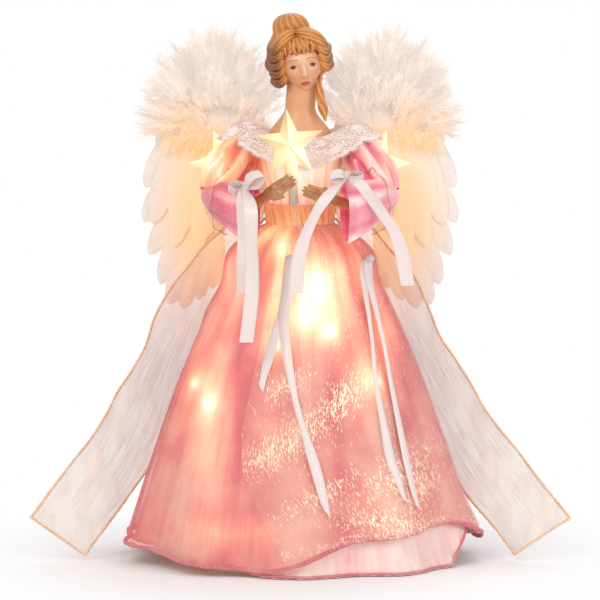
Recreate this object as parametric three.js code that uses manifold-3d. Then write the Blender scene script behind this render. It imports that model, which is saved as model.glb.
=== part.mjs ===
// Angel tree topper: a lit figure on a hollow cone, with satin and organza clothes, feather wings and stars.
// Millimetres, +Z up, the front faces -Y. The origin lies on the standing surface, on the cone's axis.

import * as THREE from 'three';
import { mergeVertices } from 'three/addons/utils/BufferGeometryUtils.js';
import Module from 'manifold-3d';

const wasm = await Module();
wasm.setup();

// Clearances
const FIT = 0.3; // between pieces that touch
const CLOTH_FIT = 0.5; // between layers of cloth

// Support cone, with the post that carries the torso
const CONE_HEIGHT = 250;
const CONE_BASE_R = 84;
const CONE_TOP_R = 12;
const CONE_WALL = 1.6;
const RIM_WIDTH = 4;
const RIM_THICK = 2;
const POST_R = 8;
const POST_BORE_R = 5;
const POST_HEIGHT = 44;
const GROMMET_Z = 14;
const GROMMET_R = 3.2;
const GROMMET_BORE_R = 1.6;
const GROMMET_FLANGE = 1.4;

// Torso, bodice and waistband
const TORSO_HEIGHT = 50;
const WAIST_RX = 22;
const WAIST_RY = 19;
const CHEST_RX = 31;
const CHEST_RY = 18;
const BODICE_THICK = 1;
const BAND_HEIGHT = 15;
const BAND_THICK = 1.6;

// Head and bust moulding
const BUST_RX = 23;
const BUST_RY = 15;
const BUST_HEIGHT = 24;
const NECK_R = 10.3;
const NECK_HEIGHT = 20;
const FACE_RX = 14.5;
const FACE_RY = 16.5;
const FACE_RZ = 18;
const HAIR_RX = 22.5;
const HAIR_RY = 20;
const HAIR_RZ = 19;
const BUN_R = 14;
const RINGLET_R = 3;
const RINGLET_LENGTH = 30;

// Lace collar
const COLLAR_RX = 58;
const COLLAR_FRONT_RY = 31;
const COLLAR_BACK_RY = 18;
const COLLAR_RISE = 11;
const COLLAR_FRONT_DROP = 21;
const COLLAR_THICK = 1;
const SCALLOPS = 10;
const SCALLOP_DEPTH = 1.8;

// Skirts: one bell with folds, in three nested layers of cloth
const HEM_RX = 132;
const HEM_RY = 106;
const BELL = 0.66; // exponent of the flare, below 1 for a bell
const SKIRT_NECK = 5;
const FOLDS = 10;
const FOLD_DEPTH = 4.5;
const CLOTH_THICK = 0.9;
const UNDER_DROP_IN = 5; // how far the underskirt lies inside the overskirt at the hem
const UNDER_HEM_Z = 0.6;
const UNDER_HEM_TUCK = 2; // how far it is tucked up behind the overskirt where that hangs low
const OVER_HEM_Z = 4;
const OVER_HEM_SIDE_LIFT = 12;
const OVER_HEM_FRONT_LIFT = 20;
const SKIRT_COLUMNS = 50;
const SKIRT_ROWS = 6;
const OVERLAY_FROM = -2; // columns from the front
const OVERLAY_COLUMNS = 18;
const OVERLAY_HEM_LIFT = 9;

/** Point given by its height above the cone's top, on which the figure stands. */
function overCone(x, y, height) {
  return new THREE.Vector3(x, y, CONE_HEIGHT + height);
}

// Arms
const ARM_WIRE_R = 1.2;
const SHOULDER_X = 27;
const SOCKET_DEPTH = 14;
const SHOULDER_RISE = 5;
const SHOULDER_REACH = 10;
const ELBOW = overCone(62, -20, 16);
const RIGHT_WRIST = overCone(27, -60, 16);
const LEFT_WRIST = overCone(29, -58, 16);
const RIGHT_FINGERTIP = overCone(1.5, -74, 26);
const LEFT_FINGERTIP = overCone(3.5, -73, 34);
const SLEEVE_R = 17;
const SLEEVE_END_R = 7.5;
const SLEEVE_PUFFS = 5;
const SLEEVE_PUFF_DEPTH = 0.8;
const CUFF_R = 19.5;
const CUFF_START_R = 6;
const CUFF_LENGTH = 44;
const CUFF_DROOP = 7;
const CUFF_FOLDS = 5;
const CUFF_FOLD_DEPTH = 1.2;
const CUFF_THICK = 1.2;
const RUFFLE_WIDTH = 15;
const RUFFLE_FLARE = 5;
const RUFFLE_FOLDS = 8;
const RUFFLE_FOLD_DEPTH = 1.6;
const WRIST_R = 3.6;
const PALM_WIDTH = 11;
const PALM_THICK = 5.4;
const FINGER_R = 1.5;

// Ribbons
const RIBBON_WIDTH = 9.5;
const RIBBON_THICK = 0.6;
const KNOT_R = 4;
const RIBBON_FIT = 0.7; // between a ribbon and the folds that it lies on
const STREAMER_THICK = 0.8;

// Lamps and stars
const LAMP_R = 2.5;
const LAMP_LENGTH = 16;
const LAMP_BASE_R = 2.1;
const LAMP_BASE_LENGTH = 8;
const HOLDER_R = 3.4;
const STAR_HOLDER_LENGTH = 30;
const SKIRT_HOLDER_LENGTH = 14;
const SKIRT_LAMP_LENGTH = 10;
const HOLDER_FLANGE = 1.4;
const HOLDER_FLANGE_THICK = 1.2;
const LEAD_R = 0.9;
const STAR_R = 25.5;
const STAR_WAIST_R = 10.7;
const STAR_DEPTH = 13;
const STAR_EDGE = 2.6;
const STAR_RISE = 13; // from the holder's mouth up to the star's centre
const STAR_COLLAR = 1.4;
const STAR_COLLAR_GRIP = 12;
const FRONT_STAR = overCone(-7.7, -60, 56.7);
const FRONT_STAR_LEAN = 4.6;
const SIDE_STAR = overCone(55, 19, 36);
const SIDE_STAR_LEAN = 18;

// Seven skirt lamps: angle from the front towards +X in degrees, and height as a part of the cone's
const SKIRT_LAMPS = [
  [14, 0.808], [3, 0.72], [18, 0.672], [-14, 0.636], [40, 0.532], [-46, 0.468], [-62, 0.516],
];

// Wings, drawn for the right side in x and height above the cone's top, and layered along y
const WING_HINGE_X = 14;
const WING_SWEEP = 8;
const BRACKET_THICK = 5;
const BRACKET_HEIGHT = 34;
const BARREL_R = 3.4;
const BARREL_LENGTH = 24;
const WING_WIRE_R = 1.2;
const WING_WIRE_REACH = 54;
const BOARD_THICK = 1.4;
const FEATHER_THICK = 1.6;
const FLIGHT_FEATHERS = 8;
const FLIGHT_WIDTH = 22;
const WING_TIP_RX = 57;
const WING_TIP_RZ = 90;
const WING_TIP_CENTRE = [58, 5];
const COVERT_LENGTH = 56;
const COVERT_WIDTH = 24;
const DOWN_THICK = 16;
const DOWN_ARCH = [
  [36, 93, 13], [47, 104, 14], [60, 110, 15], [72, 106, 15], [82, 95, 14], [89, 81, 13], [92, 67, 12],
];
const DOWN_TUFT = 6;

// Levels that follow from the sizes above
const torsoZ = CONE_HEIGHT + FIT;
const torsoTop = torsoZ + TORSO_HEIGHT;
const bustZ = torsoTop + FIT;
const skirtTop = CONE_HEIGHT - 1;
const skirtNeckZ = skirtTop - SKIRT_NECK;
const overlayOut = CLOTH_FIT + CLOTH_THICK; // overlay's outer face above the overskirt's

const root = new THREE.Group();
const UP = new THREE.Vector3(0, 0, 1);
const V = (x, y, z) => new THREE.Vector3(x, y, z);
const rad = THREE.MathUtils.degToRad;
const mix = THREE.MathUtils.lerp;
const ease = (t) => THREE.MathUtils.smoothstep(t, 0, 1);

// Solids

function flipped(geometry) {
  const index = geometry.index.array;
  for (let i = 0; i < index.length; i += 3) {
    [index[i + 1], index[i + 2]] = [index[i + 2], index[i + 1]];
  }
  return geometry;
}

/** Turns the faces of a closed indexed geometry outward. */
function outward(geometry) {
  const p = geometry.attributes.position;
  const [a, b, c] = [V(), V(), V()];
  let volume = 0;
  for (let i = 0; i < geometry.index.count; i += 3) {
    a.fromBufferAttribute(p, geometry.index.getX(i));
    b.fromBufferAttribute(p, geometry.index.getX(i + 1));
    c.fromBufferAttribute(p, geometry.index.getX(i + 2));
    volume += a.dot(b.cross(c));
  }
  return volume < 0 ? flipped(geometry) : geometry;
}

function indexed(points, index) {
  const geometry = new THREE.BufferGeometry();
  const flat = points.flatMap((p) => [p.x, p.y, p.z]);
  geometry.setAttribute('position', new THREE.Float32BufferAttribute(flat, 3));
  geometry.setIndex(index);
  return outward(geometry);
}

/** The same geometry with only its positions, and shared corners merged. */
function welded(geometry) {
  const copy = geometry.clone();
  copy.deleteAttribute('normal');
  copy.deleteAttribute('uv');
  return outward(mergeVertices(copy, 1e-4));
}

const mirrored = (geometry) => flipped(welded(geometry).scale(-1, 1, 1));

function solid(geometry) {
  const g = welded(geometry);
  const vertProperties = new Float32Array(g.attributes.position.array);
  const triVerts = new Uint32Array(g.index.array);
  return new wasm.Manifold(new wasm.Mesh({ numProp: 3, vertProperties, triVerts }));
}

function geometryOf(manifold) {
  const mesh = manifold.getMesh();
  const geometry = new THREE.BufferGeometry();
  geometry.setAttribute('position', new THREE.BufferAttribute(new Float32Array(mesh.vertProperties), 3));
  geometry.setIndex(Array.from(mesh.triVerts));
  return geometry;
}

const union = (...parts) => geometryOf(parts.map(solid).reduce((a, b) => a.add(b)));
const cut = (body, ...tools) => geometryOf(tools.map(solid).reduce((a, b) => a.subtract(b), solid(body)));

/**
 * Closed solid between an outer and an inner surface, both functions of (u, v) from 0 to 1.
 * With wraps, u runs once round a ring. Without it, the sheet has two side edges.
 */
function sheet(uSteps, vSteps, outer, inner, wraps) {
  const columns = wraps ? uSteps : uSteps + 1;
  const rows = vSteps + 1;
  const points = [];
  for (const surface of [outer, inner]) {
    for (let j = 0; j < rows; j++) {
      for (let i = 0; i < columns; i++) points.push(surface(i / uSteps, j / vSteps));
    }
  }
  const at = (layer, i, j) => (layer * rows + j) * columns + (i % columns);
  const index = [];
  const quad = (a, b, c, d) => index.push(a, b, c, a, c, d);
  for (let i = 0; i < uSteps; i++) {
    for (let j = 0; j < vSteps; j++) {
      quad(at(0, i, j), at(0, i + 1, j), at(0, i + 1, j + 1), at(0, i, j + 1));
      quad(at(1, i, j), at(1, i, j + 1), at(1, i + 1, j + 1), at(1, i + 1, j));
    }
    quad(at(0, i + 1, 0), at(0, i, 0), at(1, i, 0), at(1, i + 1, 0));
    quad(at(0, i, vSteps), at(0, i + 1, vSteps), at(1, i + 1, vSteps), at(1, i, vSteps));
  }
  for (let j = 0; j < vSteps && !wraps; j++) {
    quad(at(0, 0, j), at(0, 0, j + 1), at(1, 0, j + 1), at(1, 0, j));
    quad(at(0, uSteps, j + 1), at(0, uSteps, j), at(1, uSteps, j), at(1, uSteps, j + 1));
  }
  return indexed(points, index);
}

/** Solid of revolution about Z from (radius, height) pairs, which start and end on the axis or close up. */
function turned(profile, segments) {
  const points = profile.map(([r, z]) => new THREE.Vector2(r, z));
  return welded(new THREE.LatheGeometry(points, segments).rotateX(Math.PI / 2));
}

const disc = (r, z0, z1, segments) => turned([[0, z0], [r, z0], [r, z1], [0, z1]], segments);
const ball = (rx, ry, rz, w, h) => new THREE.SphereGeometry(1, w, h).rotateX(Math.PI / 2).scale(rx, ry, rz);

/** Straight runs through the points, with rounded bends. */
function bentPath(points, bend) {
  const path = new THREE.CurvePath();
  let from = points[0];
  for (let i = 1; i < points.length - 1; i++) {
    const before = points[i].clone().lerp(points[i - 1], bend / points[i].distanceTo(points[i - 1]));
    const after = points[i].clone().lerp(points[i + 1], bend / points[i].distanceTo(points[i + 1]));
    path.add(new THREE.LineCurve3(from, before));
    path.add(new THREE.QuadraticBezierCurve3(before, points[i], after));
    from = after;
  }
  path.add(new THREE.LineCurve3(from, points.at(-1)));
  return path;
}

function tube(path, radius, sides, steps) {
  const section = new THREE.Shape();
  for (let i = 0; i < sides; i++) {
    const a = (2 * Math.PI * i) / sides;
    const [x, y] = [radius * Math.cos(a), radius * Math.sin(a)];
    if (i === 0) section.moveTo(x, y);
    else section.lineTo(x, y);
  }
  return new THREE.ExtrudeGeometry(section, { steps, extrudePath: path, bevelEnabled: false });
}

/** Flat band along a smooth line of centres, with its half widths given as vectors at the same places. */
function band(centres, halves, thick, steps, across = 2) {
  const line = new THREE.CatmullRomCurve3(centres);
  const width = new THREE.CatmullRomCurve3(halves);
  const side = (sign) => (u, v) => {
    const half = width.getPoint(v);
    const ahead = line.getPoint(Math.min(1, v + 1e-3)).sub(line.getPoint(Math.max(0, v - 1e-3)));
    const normal = ahead.cross(half).normalize();
    const middle = line.getPoint(v).addScaledVector(half, 2 * u - 1);
    return middle.addScaledVector(normal, (sign * thick) / 2);
  };
  return sheet(across, steps, side(1), side(-1), false);
}

function add(parent, name, geometry, color, roughness, metalness = 0) {
  const material = new THREE.MeshStandardMaterial({ color, roughness, metalness });
  const mesh = new THREE.Mesh(geometry, material);
  mesh.name = name;
  parent.add(mesh);
  return mesh;
}

/** Group at a point, with its +Z turned to a direction. */
function aimed(point, direction) {
  const group = new THREE.Group();
  group.position.copy(point);
  group.quaternion.setFromUnitVectors(UP, direction.clone().normalize());
  root.add(group);
  return group;
}

function placed(geometry, group) {
  group.updateMatrix();
  return geometry.clone().applyMatrix4(group.matrix);
}

// Colours
const SKIN = 0xe8b48f;
const HAND = 0xb98a68;
const SATIN_CORAL = 0xe58a84;
const SATIN_ROSE = 0xc9707a;
const SATIN_PALE = 0xf3cfc8;
const ORGANZA_ROSE = 0xe7a9a6;
const ORGANZA_CHAMPAGNE = 0xf2e6d8;
const GLITTER = 0xe3b77f;
const LACE = 0xf6f2ee;
const RIBBON = 0xe9e6e6;
const FEATHER = 0xfafafa;
const CLEAR = 0xfff6d8;
const PLASTIC_WHITE = 0xeeeeea;
const PLASTIC_GREY = 0x8b8b86;
const WIRE = 0xb9b9b4;

// Angle is measured from the front (-Y) towards +X
const around = (angle, rx, ry, z) => V(rx * Math.sin(angle), -ry * Math.cos(angle), z);

// Support cone

const coneSlope = (CONE_BASE_R - CONE_TOP_R) / CONE_HEIGHT;
const coneR = (z) => CONE_BASE_R - coneSlope * z;
const wallNormal = (angle) => around(angle, 1, 1, coneSlope).normalize();
const onWall = (angle, z) => around(angle, coneR(z), coneR(z), z);

const lampSeats = SKIRT_LAMPS.map(([degrees, part]) => {
  return aimed(onWall(rad(degrees), part * CONE_HEIGHT), wallNormal(rad(degrees)));
});
const grommetSeat = aimed(onWall(Math.PI, GROMMET_Z), wallNormal(Math.PI));

const coneShell = turned(
  [
    [coneR(0) - CONE_WALL, 0],
    [CONE_BASE_R + RIM_WIDTH, 0],
    [CONE_BASE_R + RIM_WIDTH, RIM_THICK],
    [coneR(RIM_THICK), RIM_THICK],
    [CONE_TOP_R, CONE_HEIGHT],
    [POST_R, CONE_HEIGHT],
    [POST_R, CONE_HEIGHT + POST_HEIGHT],
    [POST_BORE_R, CONE_HEIGHT + POST_HEIGHT],
    [POST_BORE_R, CONE_HEIGHT - 2 * CONE_WALL],
    [coneR(CONE_HEIGHT - 2 * CONE_WALL) - CONE_WALL, CONE_HEIGHT - 2 * CONE_WALL],
    [coneR(0) - CONE_WALL, 0],
  ],
  24,
);
const lampHole = disc(HOLDER_R + FIT, -4 * CONE_WALL, 4 * CONE_WALL, 6);
const grommetHole = disc(GROMMET_R + FIT, -4 * CONE_WALL, 4 * CONE_WALL, 8);
const wallHoles = [...lampSeats.map((seat) => placed(lampHole, seat)), placed(grommetHole, grommetSeat)];
add(root, 'support_cone', cut(coneShell, ...wallHoles), PLASTIC_WHITE, 0.5);

const grommetOut = FIT + GROMMET_FLANGE;
const grommet = turned(
  [
    [GROMMET_BORE_R, -CONE_WALL - FIT],
    [GROMMET_R, -CONE_WALL - FIT],
    [GROMMET_R, FIT],
    [GROMMET_R + GROMMET_FLANGE, FIT],
    [GROMMET_R + GROMMET_FLANGE, grommetOut],
    [GROMMET_BORE_R, grommetOut],
    [GROMMET_BORE_R, -CONE_WALL - FIT],
  ],
  8,
);
add(grommetSeat, 'lead_grommet', grommet, PLASTIC_GREY, 0.6);

// Lamps, holders and the light string

/** Holder from z = 0 up to its mouth, with the bore that takes the lamp's base. */
function holder(length) {
  const floor = length - LAMP_BASE_LENGTH - 2 * FIT;
  const bore = LAMP_BASE_R + FIT;
  return turned([[0, 0], [HOLDER_R, 0], [HOLDER_R, length], [bore, length], [bore, floor], [0, floor]], 8);
}

/** Lamp whose collar sits on a holder's mouth at the given height. */
function lamp(mouth, length) {
  const seat = mouth + FIT;
  return turned(
    [
      [0, mouth - LAMP_BASE_LENGTH],
      [LAMP_BASE_R, mouth - LAMP_BASE_LENGTH],
      [LAMP_BASE_R, seat],
      [LAMP_R, seat],
      [LAMP_R, seat + 0.65 * length],
      [0.55 * LAMP_R, seat + 0.88 * length],
      [0, seat + length],
    ],
    6,
  );
}

const holderMouth = FIT + HOLDER_FLANGE_THICK;
const holderIn = SKIRT_HOLDER_LENGTH - holderMouth;
const holderFloor = holderMouth - LAMP_BASE_LENGTH - 2 * FIT;
const skirtHolder = turned(
  [
    [0, -holderIn],
    [HOLDER_R, -holderIn],
    [HOLDER_R, FIT],
    [HOLDER_R + HOLDER_FLANGE, FIT],
    [HOLDER_R + HOLDER_FLANGE, holderMouth],
    [LAMP_BASE_R + FIT, holderMouth],
    [LAMP_BASE_R + FIT, holderFloor],
    [0, holderFloor],
  ],
  6,
);
const inside = (seat, depth) => V(0, 0, -depth).applyQuaternion(seat.quaternion).add(seat.position);
const stringRuns = lampSeats.slice(1).map((seat, k) => {
  const from = lampSeats[k];
  const bendIn = holderIn + 5;
  const path = new THREE.CatmullRomCurve3([
    inside(from, holderIn - 2),
    inside(from, bendIn),
    inside(seat, bendIn),
    inside(seat, holderIn - 2),
  ]);
  return tube(path, LEAD_R, 4, 5);
});
const wallRun = (degrees, z) => {
  const r = coneR(z) - CONE_WALL - 5;
  return around(rad(degrees), r, r, z);
};
const lastSeat = lampSeats.at(-1);
const [lastTurn, lastZ] = [SKIRT_LAMPS.at(-1)[0], lastSeat.position.z];
const supplyRun = new THREE.CatmullRomCurve3([
  inside(lastSeat, holderIn - 2),
  inside(lastSeat, holderIn + 3),
  wallRun(lastTurn - 24, mix(lastZ, GROMMET_Z, 0.3)),
  wallRun(lastTurn - 54, mix(lastZ, GROMMET_Z, 0.6)),
  wallRun(lastTurn - 90, mix(lastZ, GROMMET_Z, 0.9)),
  inside(grommetSeat, CONE_WALL + 9),
  inside(grommetSeat, CONE_WALL + 4),
  inside(grommetSeat, -grommetOut),
]);
const lightString = union(
  ...lampSeats.map((seat) => placed(skirtHolder, seat)),
  ...stringRuns,
  tube(supplyRun, LEAD_R, 4, 14),
);
add(root, 'light_string', lightString, PLASTIC_WHITE, 0.5);
lampSeats.forEach((seat, k) => {
  add(seat, `skirt_lamp_${k + 1}`, lamp(holderMouth, SKIRT_LAMP_LENGTH), CLEAR, 0.1);
});

// Torso, bodice and waistband

const torsoRise = (z) => (z - torsoZ) / TORSO_HEIGHT;
const waistOut = overlayOut - BODICE_THICK - FIT;
const torsoRx = (z) => mix(WAIST_RX + waistOut, CHEST_RX, torsoRise(z));
const torsoRy = (z) => mix(WAIST_RY + waistOut, CHEST_RY, torsoRise(z));
const torsoRing = (out) => (u, v) => {
  const z = torsoZ + v * TORSO_HEIGHT;
  return around(2 * Math.PI * u, torsoRx(z) + out, torsoRy(z) + out, z);
};
const postBore = (u, v) => {
  return around(2 * Math.PI * u, POST_R + FIT, POST_R + FIT, torsoZ + v * TORSO_HEIGHT);
};
const armSocket = disc(ARM_WIRE_R + FIT, torsoTop - SOCKET_DEPTH, torsoTop + 1, 8);
const torso = cut(
  sheet(20, 1, torsoRing(0), postBore, true),
  armSocket.clone().translate(SHOULDER_X, 0, 0),
  armSocket.clone().translate(-SHOULDER_X, 0, 0),
);
add(root, 'torso_block', torso, 0xf4f4f0, 0.8);
const bodice = sheet(20, 1, torsoRing(FIT + BODICE_THICK), torsoRing(FIT), true);
add(root, 'bodice', bodice, SATIN_PALE, 0.35);

const bandFace = (out) => (u, v) => {
  const z = mix(skirtNeckZ + FIT, skirtNeckZ + FIT + BAND_HEIGHT, v);
  const gap = FIT + BODICE_THICK + FIT + out;
  const level = Math.max(z, torsoZ);
  return around(2 * Math.PI * u, torsoRx(level) + gap, torsoRy(level) + gap, z);
};
add(root, 'waistband', sheet(20, 2, bandFace(BAND_THICK), bandFace(0), true), 0xeebfae, 0.35);
const bandRx = torsoRx(torsoZ) + 2 * FIT + BODICE_THICK + BAND_THICK;
const bandRy = torsoRy(torsoZ) + 2 * FIT + BODICE_THICK + BAND_THICK;

// Head and bust

const bustRing = (u, v) => {
  const z = bustZ + v * (BUST_HEIGHT + NECK_HEIGHT);
  const slope = ease((z - bustZ - 6) / (BUST_HEIGHT - 8));
  return around(2 * Math.PI * u, mix(BUST_RX, NECK_R, slope), mix(BUST_RY, NECK_R, slope), z);
};
const bustCore = (u, v) => around(2 * Math.PI * u, 0.4 * NECK_R, 0.4 * NECK_R, bustRing(u, v).z);
const bustCoreFill = disc(0.5 * NECK_R, bustZ, bustZ + BUST_HEIGHT + NECK_HEIGHT, 8);
const faceZ = bustZ + BUST_HEIGHT + NECK_HEIGHT + 0.85 * FACE_RZ;
const hairZ = faceZ + 0.42 * FACE_RZ;
const bunZ = hairZ + HAIR_RZ;
const ringlet = new THREE.CatmullRomCurve3([
  V(HAIR_RX - 2 * RINGLET_R, -3, hairZ - 0.4 * HAIR_RZ),
  V(NECK_R + 1.8 * RINGLET_R, -5, faceZ - 0.9 * FACE_RZ),
  V(NECK_R + 2.4 * RINGLET_R, -5, hairZ - 0.4 * HAIR_RZ - RINGLET_LENGTH),
]);
const head = union(
  sheet(18, 7, bustRing, bustCore, true),
  bustCoreFill,
  ball(FACE_RX, FACE_RY, FACE_RZ, 14, 8).translate(0, -2, faceZ),
  ball(HAIR_RX, HAIR_RY, HAIR_RZ, 14, 9).translate(0, 5, hairZ),
  ball(BUN_R, BUN_R, 0.8 * BUN_R, 11, 7).translate(-0.3 * BUN_R, 3, bunZ),
  tube(ringlet, RINGLET_R, 6, 6),
);
add(root, 'head_and_bust', head, SKIN, 0.45);

// Lace collar

const collarFace = (lift) => (u, v) => {
  const angle = 2 * Math.PI * u;
  const front = Math.max(0, Math.cos(angle)) ** 4;
  const side = Math.sin(angle) ** 2;
  const depth = mix(COLLAR_BACK_RY, COLLAR_FRONT_RY, (1 + Math.cos(angle)) / 2);
  const scallop = v * SCALLOP_DEPTH * Math.cos(SCALLOPS * angle);
  const rx = mix(BUST_RX + FIT, COLLAR_RX + scallop, v);
  const ry = mix(BUST_RY + FIT, depth + scallop, v);
  const rise = COLLAR_RISE * Math.sin(Math.PI * v) * side;
  return around(angle, rx, ry, bustZ + 7 + rise - v * (1 + COLLAR_FRONT_DROP * front) + lift);
};
add(root, 'lace_collar', sheet(40, 2, collarFace(COLLAR_THICK), collarFace(0), true), LACE, 0.8);

// Skirts

const flare = (z) => Math.max(0, (skirtNeckZ - z) / skirtNeckZ);
const skirtAt = (angle, z, out) => {
  const t = flare(z);
  const bell = t ** BELL;
  const fold = FOLD_DEPTH * t * Math.cos(FOLDS * angle);
  return around(angle, mix(WAIST_RX, HEM_RX, bell) + fold + out, mix(WAIST_RY, HEM_RY, bell) + fold + out, z);
};
const frontLift = (angle) => {
  const degrees = THREE.MathUtils.radToDeg(Math.atan2(Math.sin(angle), Math.cos(angle)));
  return ease((degrees + 14) / 36) * ease((88 - degrees) / 30);
};
const overHem = (angle) => {
  return OVER_HEM_Z + OVER_HEM_SIDE_LIFT * Math.sin(angle) ** 2 + OVER_HEM_FRONT_LIFT * frontLift(angle);
};
const underHem = (angle) => {
  const degrees = THREE.MathUtils.radToDeg(Math.atan2(Math.sin(angle), Math.cos(angle)));
  const shown = ease((degrees + 32) / 22) * ease((75 - degrees) / 16);
  return mix(overHem(angle) + UNDER_HEM_TUCK, UNDER_HEM_Z, shown);
};
const overlayHem = (angle) => overHem(angle) + OVERLAY_HEM_LIFT * (1 - frontLift(angle));

/** Height of ring j. All layers share their rings apart from the hem, and these lie closer near the waist. */
const ringZ = (angle, j, hem) => {
  if (j === 0) return skirtTop;
  if (j === SKIRT_ROWS) return hem(angle);
  return mix(skirtNeckZ, overHem(angle), ((j - 1) / (SKIRT_ROWS - 1)) ** 1.7);
};
const columnAngle = (k) => (2 * Math.PI * k) / SKIRT_COLUMNS;
const skirtFace = (hem, out, from, columns) => (u, v) => {
  const angle = columnAngle(from + u * columns);
  const z = ringZ(angle, Math.round(v * SKIRT_ROWS), hem);
  return skirtAt(angle, z, out(z));
};
const skirtLayer = (hem, face, thick, from, columns) => {
  const outer = skirtFace(hem, face, from, columns);
  const inner = skirtFace(hem, (z) => face(z) - thick, from, columns);
  return sheet(columns, SKIRT_ROWS, outer, inner, columns === SKIRT_COLUMNS);
};
const underFace = (z) => -CLOTH_THICK - CLOTH_FIT - UNDER_DROP_IN * flare(z);
const underskirt = skirtLayer(underHem, underFace, CLOTH_THICK, 0, SKIRT_COLUMNS);
const overskirt = skirtLayer(overHem, () => 0, CLOTH_THICK, 0, SKIRT_COLUMNS);
const overlay = skirtLayer(overlayHem, () => overlayOut, CLOTH_THICK, OVERLAY_FROM, OVERLAY_COLUMNS);
add(root, 'underskirt', underskirt, SATIN_PALE, 0.4);
add(root, 'overskirt', overskirt, ORGANZA_ROSE, 0.6);
add(root, 'glitter_overlay', overlay, GLITTER, 0.5);

/** Point on the overlay's flat facets, or on the same facets run on past its edges. */
function onOverlay(angle, z, out) {
  const column = (angle / (2 * Math.PI)) * SKIRT_COLUMNS;
  const edge = (k) => {
    const levels = Array.from({ length: SKIRT_ROWS + 1 }, (_, j) => ringZ(columnAngle(k), j, overlayHem));
    const last = SKIRT_ROWS - 1;
    const j = Math.min(last, levels.findIndex((_, i) => levels[i + 1] <= z || i === last));
    const above = skirtAt(columnAngle(k), levels[j], overlayOut + out);
    const below = skirtAt(columnAngle(k), levels[j + 1], overlayOut + out);
    return above.lerp(below, (above.z - z) / (above.z - below.z));
  };
  return edge(Math.floor(column)).lerp(edge(Math.floor(column) + 1), column - Math.floor(column));
}

/** Height on the skirt, from the part of the way that it lies below the waist. */
const dropped = (drop) => skirtNeckZ * (1 - drop);

/** Ribbon that lies on the skirt's front, from pairs of x and drop along its middle. */
function skirtRibbon(route, lift) {
  const line = new THREE.CatmullRomCurve3(route.map(([x, drop]) => V(x, 0, dropped(drop))));
  const face = (out) => (u, v) => {
    const p = line.getPoint(v);
    const bell = flare(p.z) ** BELL;
    const [rx, ry] = [mix(WAIST_RX, HEM_RX, bell), mix(WAIST_RY, HEM_RY, bell)];
    const middle = Math.asin(THREE.MathUtils.clamp(p.x / rx, -0.98, 0.98));
    const radius = Math.hypot(rx * Math.cos(middle), ry * Math.sin(middle));
    return onOverlay(middle + ((u - 0.5) * RIBBON_WIDTH) / radius, p.z, RIBBON_FIT + lift + out);
  };
  return sheet(3, 12, face(RIBBON_THICK), face(0), false);
}

/** Two ribbon tails, one over the other, joined by a knot at their common top. */
function skirtTails(top, under, over) {
  const knotAngle = Math.asin(top[0] / mix(WAIST_RX, HEM_RX, top[1] ** BELL));
  const knot = onOverlay(knotAngle, dropped(top[1]), RIBBON_FIT + 1.1 * KNOT_R);
  return union(
    ball(KNOT_R, KNOT_R, KNOT_R, 7, 5).rotateZ(knotAngle).translate(knot.x, knot.y, knot.z),
    skirtRibbon([top, ...under], 0),
    skirtRibbon([top, ...over], RIBBON_THICK + FIT),
  );
}
const centreRibbon = skirtTails(
  [-6, 0.09],
  [[-10, 0.168], [-15, 0.262], [-21, 0.352], [-28, 0.455]],
  [[-8, 0.168], [-11, 0.283], [-3, 0.488], [10, 0.672], [19, 0.811]],
);
const sideRibbon = skirtTails(
  [40, 0.098],
  [[46, 0.201], [50, 0.324], [52, 0.447], [60, 0.631], [72, 0.787]],
  [[50, 0.201], [57, 0.324], [64, 0.459], [72, 0.652], [82, 0.811]],
);
add(root, 'centre_ribbon', centreRibbon, RIBBON, 0.3);
add(root, 'side_ribbon', sideRibbon, RIBBON, 0.3);

// Streamers

const streamerOut = FIT + STREAMER_THICK;
const streamerStart = around(rad(96), bandRx + streamerOut, bandRy + streamerOut, skirtNeckZ + 8);
const streamerHalves = [
  V(0, 0.5, 5), V(3, -4, 9), V(8, -12, 12), V(12, -14, 8), V(16, -8, 14), V(19.5, 0, 14),
];
const streamer = (route) => {
  const centres = route.map(([x, y, drop]) => V(x, y, dropped(drop)));
  return band([streamerStart, ...centres], streamerHalves, STREAMER_THICK, 16);
};
const rightStreamer = streamer([
  [46, 10, 0.033], [71, 14, 0.197], [94, 20, 0.402], [131, 17, 0.68], [175.5, -20, 0.926],
]);
const leftStreamer = streamer([
  [46, 8, 0.033], [78, 11, 0.197], [101, 14, 0.402], [134, 6, 0.68], [175.5, -20, 0.926],
]);
add(root, 'right_streamer', rightStreamer, ORGANZA_CHAMPAGNE, 0.6);
add(root, 'left_streamer', mirrored(leftStreamer), ORGANZA_CHAMPAGNE, 0.6);

// Stars on their lamps

const starCentre = STAR_HOLDER_LENGTH + STAR_RISE;

function starBody() {
  const points = [V(0, -STAR_DEPTH / 2, starCentre), V(0, STAR_DEPTH / 2, starCentre)];
  const index = [];
  for (let k = 0; k < 10; k++) {
    const a = (Math.PI * k) / 5;
    const r = k % 2 === 0 ? STAR_R : STAR_WAIST_R;
    const [x, z] = [r * Math.sin(a), starCentre + r * Math.cos(a)];
    points.push(V(x, -STAR_EDGE / 2, z), V(x, STAR_EDGE / 2, z));
    const [front, back] = [2 + 2 * k, 3 + 2 * k];
    const [nextFront, nextBack] = [2 + 2 * ((k + 1) % 10), 3 + 2 * ((k + 1) % 10)];
    index.push(0, front, nextFront, 1, nextBack, back);
    index.push(front, back, nextBack, front, nextBack, nextFront);
  }
  return indexed(points, index);
}
const starBore = HOLDER_R + FIT;
const collarFoot = STAR_HOLDER_LENGTH - STAR_COLLAR_GRIP;
const star = cut(
  union(starBody(), disc(starBore + STAR_COLLAR, collarFoot, starCentre - 2, 10)),
  disc(starBore, collarFoot - 1, STAR_HOLDER_LENGTH + LAMP_LENGTH + 4 * FIT, 10),
);

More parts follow.
